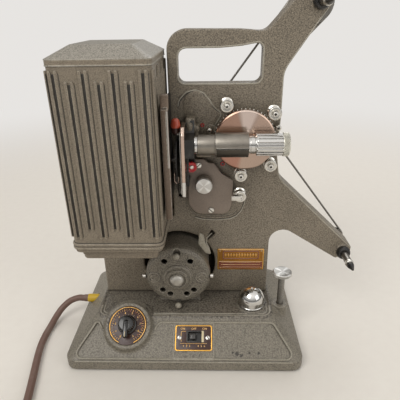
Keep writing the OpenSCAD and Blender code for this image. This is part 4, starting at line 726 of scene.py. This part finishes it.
# Pilot light
HOOD_AT, DOME_R, DOME_Z = (75, 48), 14.2, 50.5
hood = [(12.9, 43.9), (14.8, 43.9, 0.4), (14.8, 45.6, 0.3), (DOME_R, 46, 0.3), (DOME_R, DOME_Z)]
hood_line = fillet(hood, closed=False, steps=3) + arc(0, DOME_Z, DOME_R, range(6, 85, 6), 14.4)
hood_line += [(1.75, 64.75), (1.7, 65.2), (1.2, 65.9), (0, 66.1)]
inner = [(0, 63.4)] + arc(0, 50.4, 12.9, range(80, -1, -10), 13)
piece("hood_dome", "pilot_cover", [(lathe(hood_line + inner + [(12.9, 43.9)], (*HOOD_AT, 0), UP, 72), CHROME)],
    "pilot_hood", origin=(*HOOD_AT, 50))

# Leveling leg
LEG_AT = (108.5, 54, 0)
knob_line = [(0, 78.7), (9.6, 78.7, 0.5), (10.2, 79.4, 0.3), (10.2, 82.3, 0.3), (9.6, 83, 0.4), (0, 82.8)]
leg = [(turned(knob_line, LEG_AT, UP, 72), TURNED_Z)]
leg += around(move(LEG_AT), "Z", range(0, 360, 6), TURNED_Z, 9.9, 10.62, -0.33, 0.33, 79.3, 82.4, 0.2, segments=1)
thread = [(0, 10.5)] + [(3.6 - 0.2 * (k % 2), 10.6 + 0.6 * k) for k in range(110)]
leg.append((lathe(thread + [(3.6, 76.2), (5, 76.2), (5, 79), (0, 79)], LEG_AT, UP, 32), STEEL))
piece("leg_screw", "leveling_screw", leg, "elevating_screw", origin=(*LEG_AT[:2], 60))

# Castings
cast("case_shell", "main_casting", ROOT, HAMMER, 0.95, 4)
cast("back_shell", "rear_cover", ROOT, HAMMER, 0.95, 3)
panel = fillet([(3, 217), (3, 262), (5.1, 272, 6), (15.1, 278.5, 9), (27, 270.5, 8), (33, 259, 8), (39.6, 254.6, 3),
    (36, 246, 6), (30.5, 236, 3), (26, 217)], steps=6)
piece("case_panel", ROOT, [(plate([panel], 72.2, 73.3, 0.5), HAMMER)])

# Mechanism cover, nameplate and oil points
INCHING_X, INCHING_Z = 22.5, 185
pear = fillet([(6.2, 210.1, 4), (5.6, 160, 12), (14, 148.6, 12), (49, 148.2, 10), (53, 168, 14), (52.4, 187, 4),
    (40.5, 194.6, 3), (32.8, 206, 2), (27.2, 206.3, 2), (22.5, 210.3, 3)], steps=8)
pear_parts = [(plate([pear, circle(INCHING_X, INCHING_Z, 4.6)], 66, 68.6, 0.9, FRONT, 3), SATIN)]
rim = fillet([(7.4, 208.6, 4), (6.8, 161, 12), (14.6, 149.8, 11), (48, 149.4, 10), (51.8, 168, 13),
    (51.2, 186.4, 4), (39.6, 193.8, 3), (32.2, 204.8, 2), (27, 205.1, 2), (22.1, 209.1, 3)], steps=8)
pear_parts.append((plate([rim, circle(INCHING_X, INCHING_Z, 4.6)], 67.5, 73, 0.1), SATIN))
piece("pear_cover", ROOT, pear_parts, "mechanism_cover")
NAME = (37, 89.8, 72.8, 100.7)
name_parts = [(plate([box_line(*NAME, 1.2)], 72.2, 72.75, 0.15), GOLD),
    (plate([box_line(38.2, 88.6, 84.4, 99.5, 0.5)], 71.95, 72.5, 0.08), NAME_GOLD),
    (plate([box_line(38.2, 88.6, 74, 83.6, 0.5)], 71.95, 72.5, 0.08), NAME_RED),
    (plate([box_line(43, 84, 87.2, 98, 1), box_line(44, 83, 88.2, 97, 0.7)], 71.8, 72.3, 0.06), NAME_RED)]
for k in range(12):
    x = 46.2 + 34.4 * k / 11
    lozenge = [(x - 1, 92.75), (x, 90.6), (x + 1, 92.75), (x, 94.9)]
    name_parts.append((plate([lozenge], 71.8, 72.3, 0.05), GOLD))
for z in (76.2, 79.6, 82.9):
    name_parts.append((block(41, 86, 71.8, 72.3, z - 0.2, z + 0.2, 0.05), GOLD))
for x in (39.8, 87):
    for z in (75.6, 97.9):
        name_parts.append((lathe([(0, 0), (0.9, 0), (0.75, 0.4), (0, 0.55)], (x, 71.9, z), NEAR, 16), BRASS))
piece("name_panel", ROOT, name_parts, "nameplate")
OILER = (10.6, 52.2, 207.6)
wheel = [(2, 0), (5.3, 0, 0.4), (5.3, 3, 0.8), (4.2, 3.2, 0.5), (3.4, 2.6, 0.3), (2, 2.6)]
stem = [(0, -14), (2.2, -14), (2.2, 2.6, 0.3), (1.4, 3.4, 0.5), (0, 3.4)]
oil = [(turned(wheel, OILER, NEAR, 40, loop=True), RED), (turned(stem, OILER, NEAR, 24), BRIGHT)]
for x, z in arc(OILER[0], OILER[2], 4.9, range(0, 360, 36)):
    oil.append((lathe([(0, 0), (0.55, 0.1), (0.5, 3.1), (0, 3.2)], (x, 52.1, z), NEAR, 8), RED))
for x, z, r in ((41.7, 203, 2.3), (21.5, 243.5, 1.8)):
    oil.append((turned([(r * 0.55, 0), (r, 0, 0.2), (r, 1.5, 0.4), (r * 0.6, 1.5, 0.2), (r * 0.55, 0.8)],
        (x, 73.2, z), NEAR, 24, loop=True), RED))
    oil.append((lathe([(0, 0.9), (r * 0.6, 0.9), (r * 0.6, 0.2), (0, 0.2)], (x, 73.2, z), NEAR, 16), BLACK))
piece("oil_caps", ROOT, oil, "oil_points")

# Rollers
ROLLERS = {"feed_roller_inner": (44.642, 265.522), "feed_roller_outer": (89.584, 258.001),
    "takeup_roller_outer": (88.238, 206.605), "takeup_roller_inner": (59.397, 196.108),
    "loop_roller": (59.3, 173.5)}
for name, (x, z) in ROLLERS.items():
    spool = [(2.5, 0.3), (3.6, 0.15, 0.2), (4.6, -0.1, 0.3), (5.8, 0.1, 0.35), (6.4, 0.7, 0.3), (6.4, 1.5, 0.4),
        (4.7, 2.6, 0.8), (4.6, 9.4, 0.8), (6.4, 10.5, 0.4), (6.4, 11.8, 0.4), (2.5, 11.8)]
    piece(name + "_spool", name + "_body", [(turned(spool, (x, 54, z), BACK, 48, loop=True), NICKEL)], name,
        origin=(x, 60, z))
    hub = [(0, -2.5), (1.8, -2.5, 0.4), (2.45, -1.8, 0.3), (2.45, 0.2), (0, 0.2)]
    dimple = [(0, -2.62), (1.2, -2.62), (1.2, -2.3), (0, -2.3)]
    hub_parts = [(turned(hub, (x, 54, z), BACK, 32), BRIGHT), (lathe(dimple, (x, 54, z), BACK, 20), GROOVE_AND_SHADE)]
    if name == "loop_roller":
        hub_parts.append((block(x - 8.9, x + 0.6, 50.4, 51.6, z - 2.6, z + 2.4, 0.5), BRIGHT))
    piece(name + "_hub", ROOT, hub_parts)

studs = []
for x, y, z, r in ((28.4, 62, 240.9, 2.5), (95, 66, 242, 2.9)):
    stud = [(0, -3), (r - 0.6, -3, 0.4), (r, -2.3, 0.3), (r, 6), (0, 6)]
    studs.append((turned(stud, (x, y, z), BACK, 28), NICKEL))
    studs.append((lathe([(0, -3.15), (r * 0.45, -3.15), (r * 0.45, -2.8), (0, -2.8)], (x, y, z), BACK, 16), GROOVE_AND_SHADE))
piece("face_studs", ROOT, studs)

# Sprocket and inching knob
SPR = (62.3, 233)
drum = [(0, 0), (5, 0, 0.2), (5.4, 0.35, 0.2), (27.4, 0, 0.6), (29.1, 0.9, 0.8), (29.1, 10, 0.4), (26.1, 10, 0.3),
    (26.1, 2.2, 0.5), (8, 2.2, 0.5), (8, 16, 0.4), (0, 16)]
sprocket = [(turned(drum, (SPR[0], 52, SPR[1]), BACK, 128), COPPER_FACE),
    (turned([(0, -0.6), (3.2, -0.6, 0.5), (3.6, 0.4, 0.1), (0, 0.4)], (SPR[0], 52, SPR[1]), BACK, 32), NICKEL)]
sprocket += around(move((SPR[0], 57.1, SPR[1])), "Y", [7.5 * k for k in range(48)], NICKEL, 28.6, 30, -0.6, 0.6,
    -0.6, 0.6, 0.25, segments=1)
piece("sprocket_drum", "sprocket_drive", sprocket, "sprocket", origin=(SPR[0], 57, SPR[1]))
turn_knob = [(0, 0), (8, 0, 0.35), (8.5, 0.9, 0.3), (8.5, 9.4, 0.3), (0, 9.4)]
inching = [(turned(turn_knob, (INCHING_X, 54.6, INCHING_Z), BACK, 64), TURNED)]
inching += around(move((INCHING_X, 0, INCHING_Z)), "Y", [360 * k / 54 for k in range(54)], NICKEL, 8.3, 8.95, 55.6,
    63.8, -0.3, 0.3, 0.18, segments=1)
piece("inching_wheel", "main_drive", inching, "inching_knob", origin=(INCHING_X, 59, INCHING_Z))

# Reel spindle tips and sleeves over the plain CAD spindles, whose shafts run along Y
UPPER, LOWER = (125.7, 352), (177.8, 98)
for name, (x, z), body in (("upper", UPPER, "upper_reel_drive"), ("lower", LOWER, "lower_reel_drive")):
    tip = [(0, 0), (1.05, 0, 0.3), (3.62, 7.4, 0.5), (3.1, 7.8, 0.3), (3.1, 9.2), (0, 9.2)]
    collar = [(4.2, 64.5), (6.2, 64.5, 0.4), (7.4, 67, 0.6), (7.4, 71, 0.3), (4.2, 71)]
    knuckle = [(0, 43.6), (2.6, 43.6, 0.6), (4.5, 46.2, 1.2), (4.5, 49.2, 1.2), (3, 51, 0.3), (0, 51)]
    tip_parts = [(turned(tip, (x, 34.9, z), BACK, 32), BLACK_SATIN),
        (turned(collar, (x, 0, z), BACK, 40, loop=True), BLACK_SATIN),
        (turned(knuckle, (x, 0, z), BACK, 36), BRIGHT)]
    piece(name + "_spindle_tip", body, tip_parts, origin=(x, 40, z))


# Belts
RUNNING_GAP, BELT_R = 0.1, 1.2


def belt_line(a, ra, b, rb, y, pitch):
    a, b = Vector(a), Vector(b)
    gap = RUNNING_GAP + BELT_R
    ra, rb = ra + gap, rb + gap
    d = (b - a).length
    u = atan2(b.y - a.y, b.x - a.x)
    s = acos((ra - rb) / d)
    corners = []
    for c, r, start, turn in ((a, ra, u + s, 2 * pi - 2 * s), (b, rb, u - s, 2 * s)):
        for k in range(41):
            g = start + turn * k / 40
            corners.append(Vector((c.x + r * cos(g), y, c.y + r * sin(g))))
    out = []
    for p, q in zip(corners, corners[1:] + corners[:1]):
        n = max(1, round((q - p).length / pitch))
        out += [p.lerp(q, k / n) for k in range(n)]
    return out


for name, args in (("upper_belt", ((29.5, 238.538), 7.5, UPPER, 17.3, 101)),
        ("lower_belt", (SPR, 18.7, LOWER, 8.5, 107))):
    line = belt_line(*args, pitch=0.45)
    piece(name + "_spring", ROOT, [(tube(line, 1.12, 8, cyclic=True, wave=lambda i: (1, 0.86)[i % 2]), STEEL)],
        name, angle=80)
dress(FEET, "drive_belt", "rubber_feet", "elevating_foot")

# Lens
AX = (40, 233)
lens_c = (0, *AX)
half_shell = arc(*AX, 11.55, range(186, 331, 6)) + arc(*AX, 10.6, range(330, 185, -6))


def on_lens(points, n):
    return turned(points, lens_c, RIGHT, n, loop=True)


# The darker half shell on the holder's underside is painted shade; the dark block above it is the split line
holder = [(on_lens([(8.6, 17.4), (9.8, 17.4, 0.3), (9.8, 33.8, 0.2), (8.6, 33.8)], 64), LENS_GREY),
    (on_lens([(8.6, 33.5), (11.3, 33.5, 0.5), (11.3, 64.2, 0.4), (8.6, 64.2)], 72), LENS_GREY),
    (on_lens([(7, 14.2), (8.3, 14.2, 0.4), (8.3, 17.6, 0.2), (7, 17.6)], 64), CHROME),
    (block(34.4, 64.3, 28.3, 30.6, 231.9, 232.8, 0.1), GROOVE_AND_SHADE),
    (plate([half_shell], 34.6, 64.1, 0.12, SIDE), STEEL_PAINTED_SHADE),
    (block(16, 30, 44, 73, 219.5, 231.5, 1.5), HAMMER)]
piece("lens_tube", ROOT, holder, "lens_holder")
barrel_line = [(6.5, 23), (8.5, 23, 0.3), (8.5, 65.2, 0.1), (8.3, 65.4, 0.1), (8.3, 66, 0.1), (8.5, 66.2, 0.1),
    (8.5, 69.8, 0.3), (8.2, 70, 0.1), (8.2, 71.2), (6.5, 71.2)]
barrel = [(on_lens(barrel_line, 64), CHROME),
    (on_lens([(6.5, 70.7), (8.9, 70.7, 0.2), (9.2, 71.4, 0.2), (9.2, 96), (6.5, 96)], 72), TURNED_X)]
barrel += around(move(lens_c), "X", [360 / 14 * k + 4 for k in range(14)], CHROME, 71.4, 95.9, -1.55, 1.55, 8.4,
    10.3, 0.8, segments=4)
front = [(6.5, 95.4), (10.2, 95.4, 0.4), (10.4, 96.2, 0.2), (10.4, 100.6, 0.2), (10, 101.5, 0.5), (8.6, 101.5, 0.3),
    (8, 100.9, 0.2), (8, 97.6), (6.5, 97.6)]
barrel.append((on_lens(front, 72), RING_METAL))
barrel += around(move(lens_c), "X", range(0, 360, 6), RING_METAL, 95.9, 100.9, -0.32, 0.32, 10.1, 10.88, 0.2,
    segments=1)
piece("barrel_fluted", "focus_lens", barrel, "lens_barrel", origin=(70, *AX))
dress(CLEAR, "lens_glass", "condenser_lens")
dress(LAMP, "lamp_bulb")

# Gate
GATE_KNOB_AT = (-2, 36, 0)
shank = [(0, 244.2), (2.4, 244.2, 0.2), (2.4, 245.4, 0.3), (3.8, 246, 0.8), (3.9, 251, 0.2), (0, 251)]
button = [(0, 250.8), (4.4, 250.8, 0.3), (4.4, 253.4, 1.4), (3.6, 257.6, 2), (1.6, 259, 0.8), (0, 259)]
press = [(block(1, 2.1, 33, 47, 186, 247, 0.25), BRIGHT), (block(-2, 2.1, 34, 38, 244, 247, 0.5), STEEL),
    (turned(shank, GATE_KNOB_AT, UP, 40), BROWN), (turned(button, GATE_KNOB_AT, UP, 40), ORANGE)]
hook = [(-4.9, 207), (-4.9, 203), (-4.9, 200)] + arc(-3.1, 198.8, 1.8, range(190, 351, 20), 2.1) + [(-1.3, 203)]
press.append((tube([(x, 37, z) for x, z in hook], 1.3), PINK_STEEL))
piece("gate_shoe", "film_gate", press, "pressure_plate")
plate_lines = [fillet([(26, 201), (52, 201), (52, 252, 1.6), (31, 252, 2), (26, 245, 2)]),
    box_line(37.6, 42.4, 231.2, 234.8, 0.2), box_line(42.6, 44.9, 219, 227, 0.2)]
foot = [fillet([(26, 185.5, 1.6), (52, 185.5, 1.6), (52, 201.1), (26, 201.1)])]
piece("gate_plate", ROOT, [(plate(plate_lines, 2.5, 6, 0.5, SIDE, 2), PINK_STEEL),
    (plate(foot, 2.5, 6, 0.5, SIDE, 2), CHROME)], "aperture_plate")
catch = [(0, 209.6), (1.7, 209.6, 0.6), (1.8, 220.4, 0.6), (0, 220.4)]
gate_small = [(turned(catch, (-9.2, 34, 0), UP, 28), STEEL)]
for x0, x1, y0, y1, z0, z1, r in ((5.5, 14.6, 59.2, 73.4, 239, 253.6, 1.6),
        (6.2, 12.6, 54.5, 73, 236.5, 249.6, 2.6), (9.5, 18.6, 59, 73, 239, 246.2, 2.2),
        (5.2, 10.4, 58, 73, 246, 253.4, 2.2), (13, 17.6, 60, 73, 233, 241, 1.8)):
    gate_small.append((block(x0, x1, y0, y1, z0, z1, r, segments=4), HAMMER))
gate_small += [(block(-11.1, -4.4, 3.9, 9.6, 273, 285.4, 0.9, segments=3), PLATE_BROWN),
    (block(-11.1, -5.3, 3.9, 9.1, 174, 275.1, 0.4), PLATE_BROWN),
    (tube([(-6, 4.4, z) for z in (272, 262, 250, 238, 224)], 0.85, 8), HUB)]
piece("gate_fittings", ROOT, gate_small)

# Lamp house
HOUSE_X0, HOUSE_X1, HOUSE_Y0, HOUSE_Y1 = -95.5, -14.5, -8, 88
WALLS = ((HOUSE_X1 - HOUSE_X0, lambda u, n: (HOUSE_X0 + u, HOUSE_Y0 - n), 0),
    (HOUSE_Y1 - HOUSE_Y0, lambda u, n: (HOUSE_X1 + n, HOUSE_Y0 + u), 0),
    (HOUSE_Y1 - HOUSE_Y0, lambda u, n: (HOUSE_X0 - n, HOUSE_Y1 - u), 0),
    (HOUSE_X1 - HOUSE_X0, lambda u, n: (HOUSE_X1 - u, HOUSE_Y1 + n), 1))


def capsule(x, y, low, high, r):
    """An upright round rib with domed ends"""
    line = [(0, low - r)] + [(r * sin(radians(a)), low - r * cos(radians(a))) for a in (20, 40, 60, 80)]
    line += [(r * sin(radians(a)), high + r * cos(radians(a))) for a in (80, 60, 40, 20)] + [(0, high + r)]
    return lathe(line, (x, y, 0), UP, 16)


house = []
for width, spot, louvred in WALLS:
    for k in range(7):
        c = 6.4 + (width - 12.8) / 6 * k
        low, high = (162.8, 304.4) if k % 2 == 0 else (170.8, 296.4)
        if louvred and 0 < k < 6:
            high = 256
        for half in (-2.6, 2.6):
            house.append((capsule(*spot(c + half, 0.1), low, high, 1.4), CRINKLE))
        # Dark strips of painted shade: in the channel of each rib pair, and on the shaded side of its right rib
        for left, right in ((-1.25, 1.25), (4, 4.55)):
            (xa, ya), (xb, yb) = spot(c + left, 0.12), spot(c + right, -0.6)
            house.append((block(min(xa, xb), max(xa, xb), min(ya, yb), max(ya, yb), low, high - 1, 0.05), GROOVE_AND_SHADE))


def plan_line(out, z):
    plan = box_line(HOUSE_X0 - out, HOUSE_X1 + out, HOUSE_Y0 - out, HOUSE_Y1 + out, 6 + out, 8)
    return [(x, y, z) for x, y in plan]


# Beads round the foot of the house, with thin dark lines of painted shade in the creases beside them
for out, z, r, look in ((0.5, 154.9, 1.15, CRINKLE), (0.6, 151.3, 1, CRINKLE), (1.1, 153.2, 0.3, GROOVE_AND_SHADE),
        (0.1, 156.3, 0.3, GROOVE_AND_SHADE)):
    house.append((tube(plan_line(out, z), r, 10, cyclic=True), look))
piece("house_ribs", "lamp_cover", house)
dress(CRINKLE, "lamphouse")
cast("house_roof", "lamphouse_cap", "lamp_cover", ROOF_PAINT_LIT, 0.75, 2,
    top=(CRINKLE, lambda c, n: c.z < 314.2 and n.z < 0.6),
    ridges=[tube(plan_line(0.5, z), r, 8, cyclic=True) for z, r in ((309.2, 0.45), (313.6, 0.4))])
cast("lamp_pan", "lamp_tray", ROOT, CRINKLE, 0.9, 4)
dress(BLACK_SATIN, "condenser_plate")

# Motor
MOTOR = (-7, 82.2)
dress(SILVER_PAINT, "motor_frame", "motor_end_bell")
dress(COPPER, "armature")
dome = [(8, 13.6), (7.9, 16, 1.2), (6.4, 18.4, 2), (3.6, 19.7, 2), (0, 20)]
boss = [(7.6, 13), (12.9, 13), (12.2, 15.2, 0.8), (9.6, 15.6, 0.6), (8.6, 14.4, 0.4), (7.6, 14.4)]
bell = [(turned(dome, (MOTOR[0] - 0.6, 54, MOTOR[1] - 1.2), NEAR, 56), HUB),
    (turned(boss, (MOTOR[0] - 0.4, 54, MOTOR[1] - 0.8), NEAR, 64, loop=True), SILVER_PAINT),
    (ball((-7.4, 41, 45.6), 3.6), RIDGE_PALE_AND_HIGHLIGHT),
    (turned([(0, 0), (1.5, 0), (1.5, 9), (0, 9)], (-7.4, 42.4, 45.4), BACK, 20), STEEL),
    (block(-9.8, -5, 43.2, 44.6, 48.6, 51.8, 0.3), GROOVE_AND_SHADE),
    (ball((-7.4, 41.4, 110.2), 3.5), RIDGE_PALE_AND_HIGHLIGHT),
    (turned([(0, 0), (1.3, 0), (1.3, 6), (0, 6)], (-7, 42.8, 111.6), BACK, 16), STEEL)]
for s in (-1, 1):
    c = MOTOR[0] + s * 26
    rim = [(x, 43, z) for x, z in arc(c, MOTOR[1], 6, range(0, 360, 12))]
    hook = [(x, 42.9, z) for x, z in arc(c + s * 0.4, MOTOR[1], 3.2, range(50, 311, 20))]
    bell += [(tube(rim, 0.5, 8, cyclic=True), SILVER_PAINT), (tube(hook, 0.5, 8), SILVER_PAINT)]
arm = [(17.1, 131, 1), (21.6, 127.6, 1), (23.4, 118.5, 3), (27.6, 111.2, 3), (29.6, 103.9, 1), (23.5, 105.1, 4),
    (15.6, 117.3, 2)]
wire = [(27.6, 55.6, 111.4), (24.6, 55.6, 118.6), (25.2, 56.5, 124.5), (30.4, 58, 129.5)]
bell += [(plate([fillet(arm)], 55.5, 58.5, 0.8, FRONT, 3), RIDGE_PALE_AND_HIGHLIGHT), (tube(wire, 0.55, 8), RIDGE_PALE_AND_HIGHLIGHT)]
piece("bell_fittings", ROOT, bell)

# Screw faces with their slots, and the seams on the case
screws = []
facing = Matrix.Rotation(radians(90), 4, "X")
screw_places = [(move((x, 64.7, z)) @ facing, 3.05, a) for x, z, a in ((17.2, 204, 42), (29.8, 153, -45))]
screw_places += [(PAD @ move((x, 0, 3.4)), 2.25, a) for x, a in ((-15, 60), (15, -55))]
for frame_at, r, turn in screw_places:
    centre, out = frame_at.translation, frame_at.to_3x3() @ Vector(UP)
    screws.append((turned([(0, -0.2), (r, -0.2), (r - 0.3, 0.35, 0.2), (0, 0.6)], centre, out, 32), BRIGHT))
    spin = frame_at @ Matrix.Rotation(radians(turn), 4, "Z")
    screws.append((block(-r * 0.92, r * 0.92, -0.36, 0.36, 0.1, 0.72, 0.05, spin), GROOVE_AND_SHADE))
piece("screw_faces", ROOT, screws)


def on_face(points, r, look, y=72.95, cyclic=False, inward=0.0):
    """A raised line on the casting's front face, drawn inward from its points"""
    mid = Vector((20, 250))
    line = []
    for x, z in fillet(points, closed=cyclic, steps=6):
        d = (mid - Vector((x, z))).normalized() * inward
        line.append((x + d.x, y, z + d.y))
    return (tube(line, r, 8, cyclic=cyclic), look)


seam = [(-2.4, 262), (-0.9, 268.2, 8), (6.1, 275.6, 8), (15.1, 277.7, 9), (23.3, 274.4, 9), (28.8, 267.4, 9),
    (32.9, 261, 9), (38.5, 256.5, 3), (39.7, 253.2, 2), (31.9, 240.3, 3), (28.5, 232)]
low_seam = [(66.4, 168), (65.5, 157.5, 9), (62.2, 148.3, 9), (56.9, 142.2, 9), (50.4, 139, 9), (36, 137.6, 9),
    (20, 138.6, 9), (12, 141)]
under = [(58, 152), (54, 145.4, 8), (44, 143.2, 8), (24, 143.2, 8), (12, 145.2, 6), (7, 152)]
handle_rim = [(-1.5, 282.5, 7), (78.5, 282.5, 7), (78.8, 320.5, 6), (58, 317, 12), (38, 315.5, 20),
    (-1.5, 315.5, 9)]
WAIST, EDGE = 96, 97.7
arm_rim = [(LOWER[0] + 7.5, LOWER[1] + 5.2), (100.2, 186.2, 25), (WAIST, 215, 40), (EDGE, 249.5, 40),
    (EDGE, 294, 25), (UPPER[0] + 15.4, UPPER[1] + 7)]
# Pale beads of painted highlight along the rims and seams, with dark lines of painted shade beside the seams
seams = [on_face(handle_rim, 0.9, RIDGE_PALE_AND_HIGHLIGHT, 73.4, cyclic=True), on_face(arm_rim, 0.75, RIDGE_PALE_AND_HIGHLIGHT, 73.5),
    on_face(seam, 0.75, RIDGE_PALE_AND_HIGHLIGHT, 72.8), on_face(seam, 0.5, GROOVE_AND_SHADE, 72.75, inward=1.1), on_face(low_seam, 0.7, RIDGE_PALE_AND_HIGHLIGHT),
    on_face(low_seam, 0.4, GROOVE_AND_SHADE, 72.9, inward=1.0), on_face(under, 0.65, HAMMER),
    on_face(under, 0.4, GROOVE_AND_SHADE, 72.9, inward=-1.0)]
piece("case_seams", ROOT, seams)

# The rest keeps its CAD shape
dress(NICKEL, "guide_studs")
dress(BRIGHT, "slotted_screws")
dress(STEEL, "bottom_plate", "mechanism_plate", "sprocket_shaft", "main_shaft", "cross_shaft", "shutter_shaft",
    "rewind_shaft", "upper_spindle", "lower_spindle", "pilot_lamp")
dress(BRASS, "idler_gear")
dress(BRONZE, "shaft_bushes")
dress(BROWN, "rheostat")
dress(BLACK_SATIN, "switch_block", "shutter", "gate_block", "claw")

# Switch slider
slider = [(block(-4, 2, -1.8, 4.4, 1, 4.7, 0.6, PAD), BLACK)]
for k in range(4):
    x = -3.1 + 1.4 * k
    slider.append((block(x - 0.2, x + 0.2, -1.2, 3.8, 4.2, 4.95, 0.12, PAD), BLACK))
piece("switch_lever", "power_switch", slider, "switch_slider")

# Floor, backdrop and light
BACKDROP, BACKDROP_LEVEL = (1, 0.975, 0.945, 1), 0.8
floor = bmesh.new()
bmesh.ops.create_grid(floor, x_segments=1, y_segments=1, size=60.0)
floor_mesh = meshed(floor, "floor")
floor_ob = as_object(floor_mesh, "floor")
look, shader, place = begin("floor")
grain = noise(place, 90, 3)
finish(shader, blend(grain, lin("e4ded5"), lin("eae5dc")), span(grain, 0, 1, 0.6, 0.75), grain, 0.05, 0.0001,
    add("NewGeometry").outputs["Normal"])
floor_mesh.materials.append(look)
reach = add("VectorMath", _operation="LENGTH", i0=place).outputs["Value"]
far = add("Emission", Color=BACKDROP, Strength=BACKDROP_LEVEL)
fade = add("MapRange", _interpolation_type="SMOOTHERSTEP", Value=reach, From_Min=0.4, From_Max=1.5, To_Min=0.0,
    To_Max=1.0)
mixed = add("MixShader", Fac=fade.outputs[0], i1=shader.outputs[0], i2=far.outputs[0])
put(tree.nodes["Material Output"], Surface=mixed.outputs[0])

world = bpy.data.worlds.new("world")
bpy.context.scene.world = world
world.use_nodes = True
tree = world.node_tree
tree.nodes.clear()
path = add("LightPath").outputs
toward = add("SeparateXYZ", Vector=add("TexCoord").outputs["Generated"]).outputs
overhead = span(toward["Z"], 0.12, 0.75, 0.16, 1)
room = mul(overhead, span(toward["Y"], -0.75, 0.2, 1.25, 0.8))
plain = calc("MAXIMUM", path["Is Camera Ray"], path["Is Transmission Ray"])
level_in = add("Mix", Factor=path["Is Glossy Ray"], i2=0.55, i3=room).outputs[0]
level_in = add("Mix", Factor=plain, i2=level_in, i3=BACKDROP_LEVEL).outputs[0]
ground = add("Background", Color=BACKDROP, Strength=level_in)
add("OutputWorld", Surface=ground.outputs[0])


def lamp(name, place, size, power, colour=(1, 1, 1)):
    data = bpy.data.lights.new(name, "AREA")
    data.shape = "SQUARE"
    data.size = size
    data.energy = power
    data.color = colour
    ob = as_object(data, name)
    ob.location = place
    ob.rotation_euler = (Vector((0, 0, 0.15)) - Vector(place)).to_track_quat("-Z", "Y").to_euler()


lamp("key", (-0.75, -0.95, 1.35), 0.9, 11, (1, 0.985, 0.96))
lamp("fill", (1.15, -0.75, 0.75), 0.9, 3.5)
lamp("back", (0.35, 1, 1.2), 0.8, 5)
bpy.context.scene.view_settings.view_transform = "Standard"
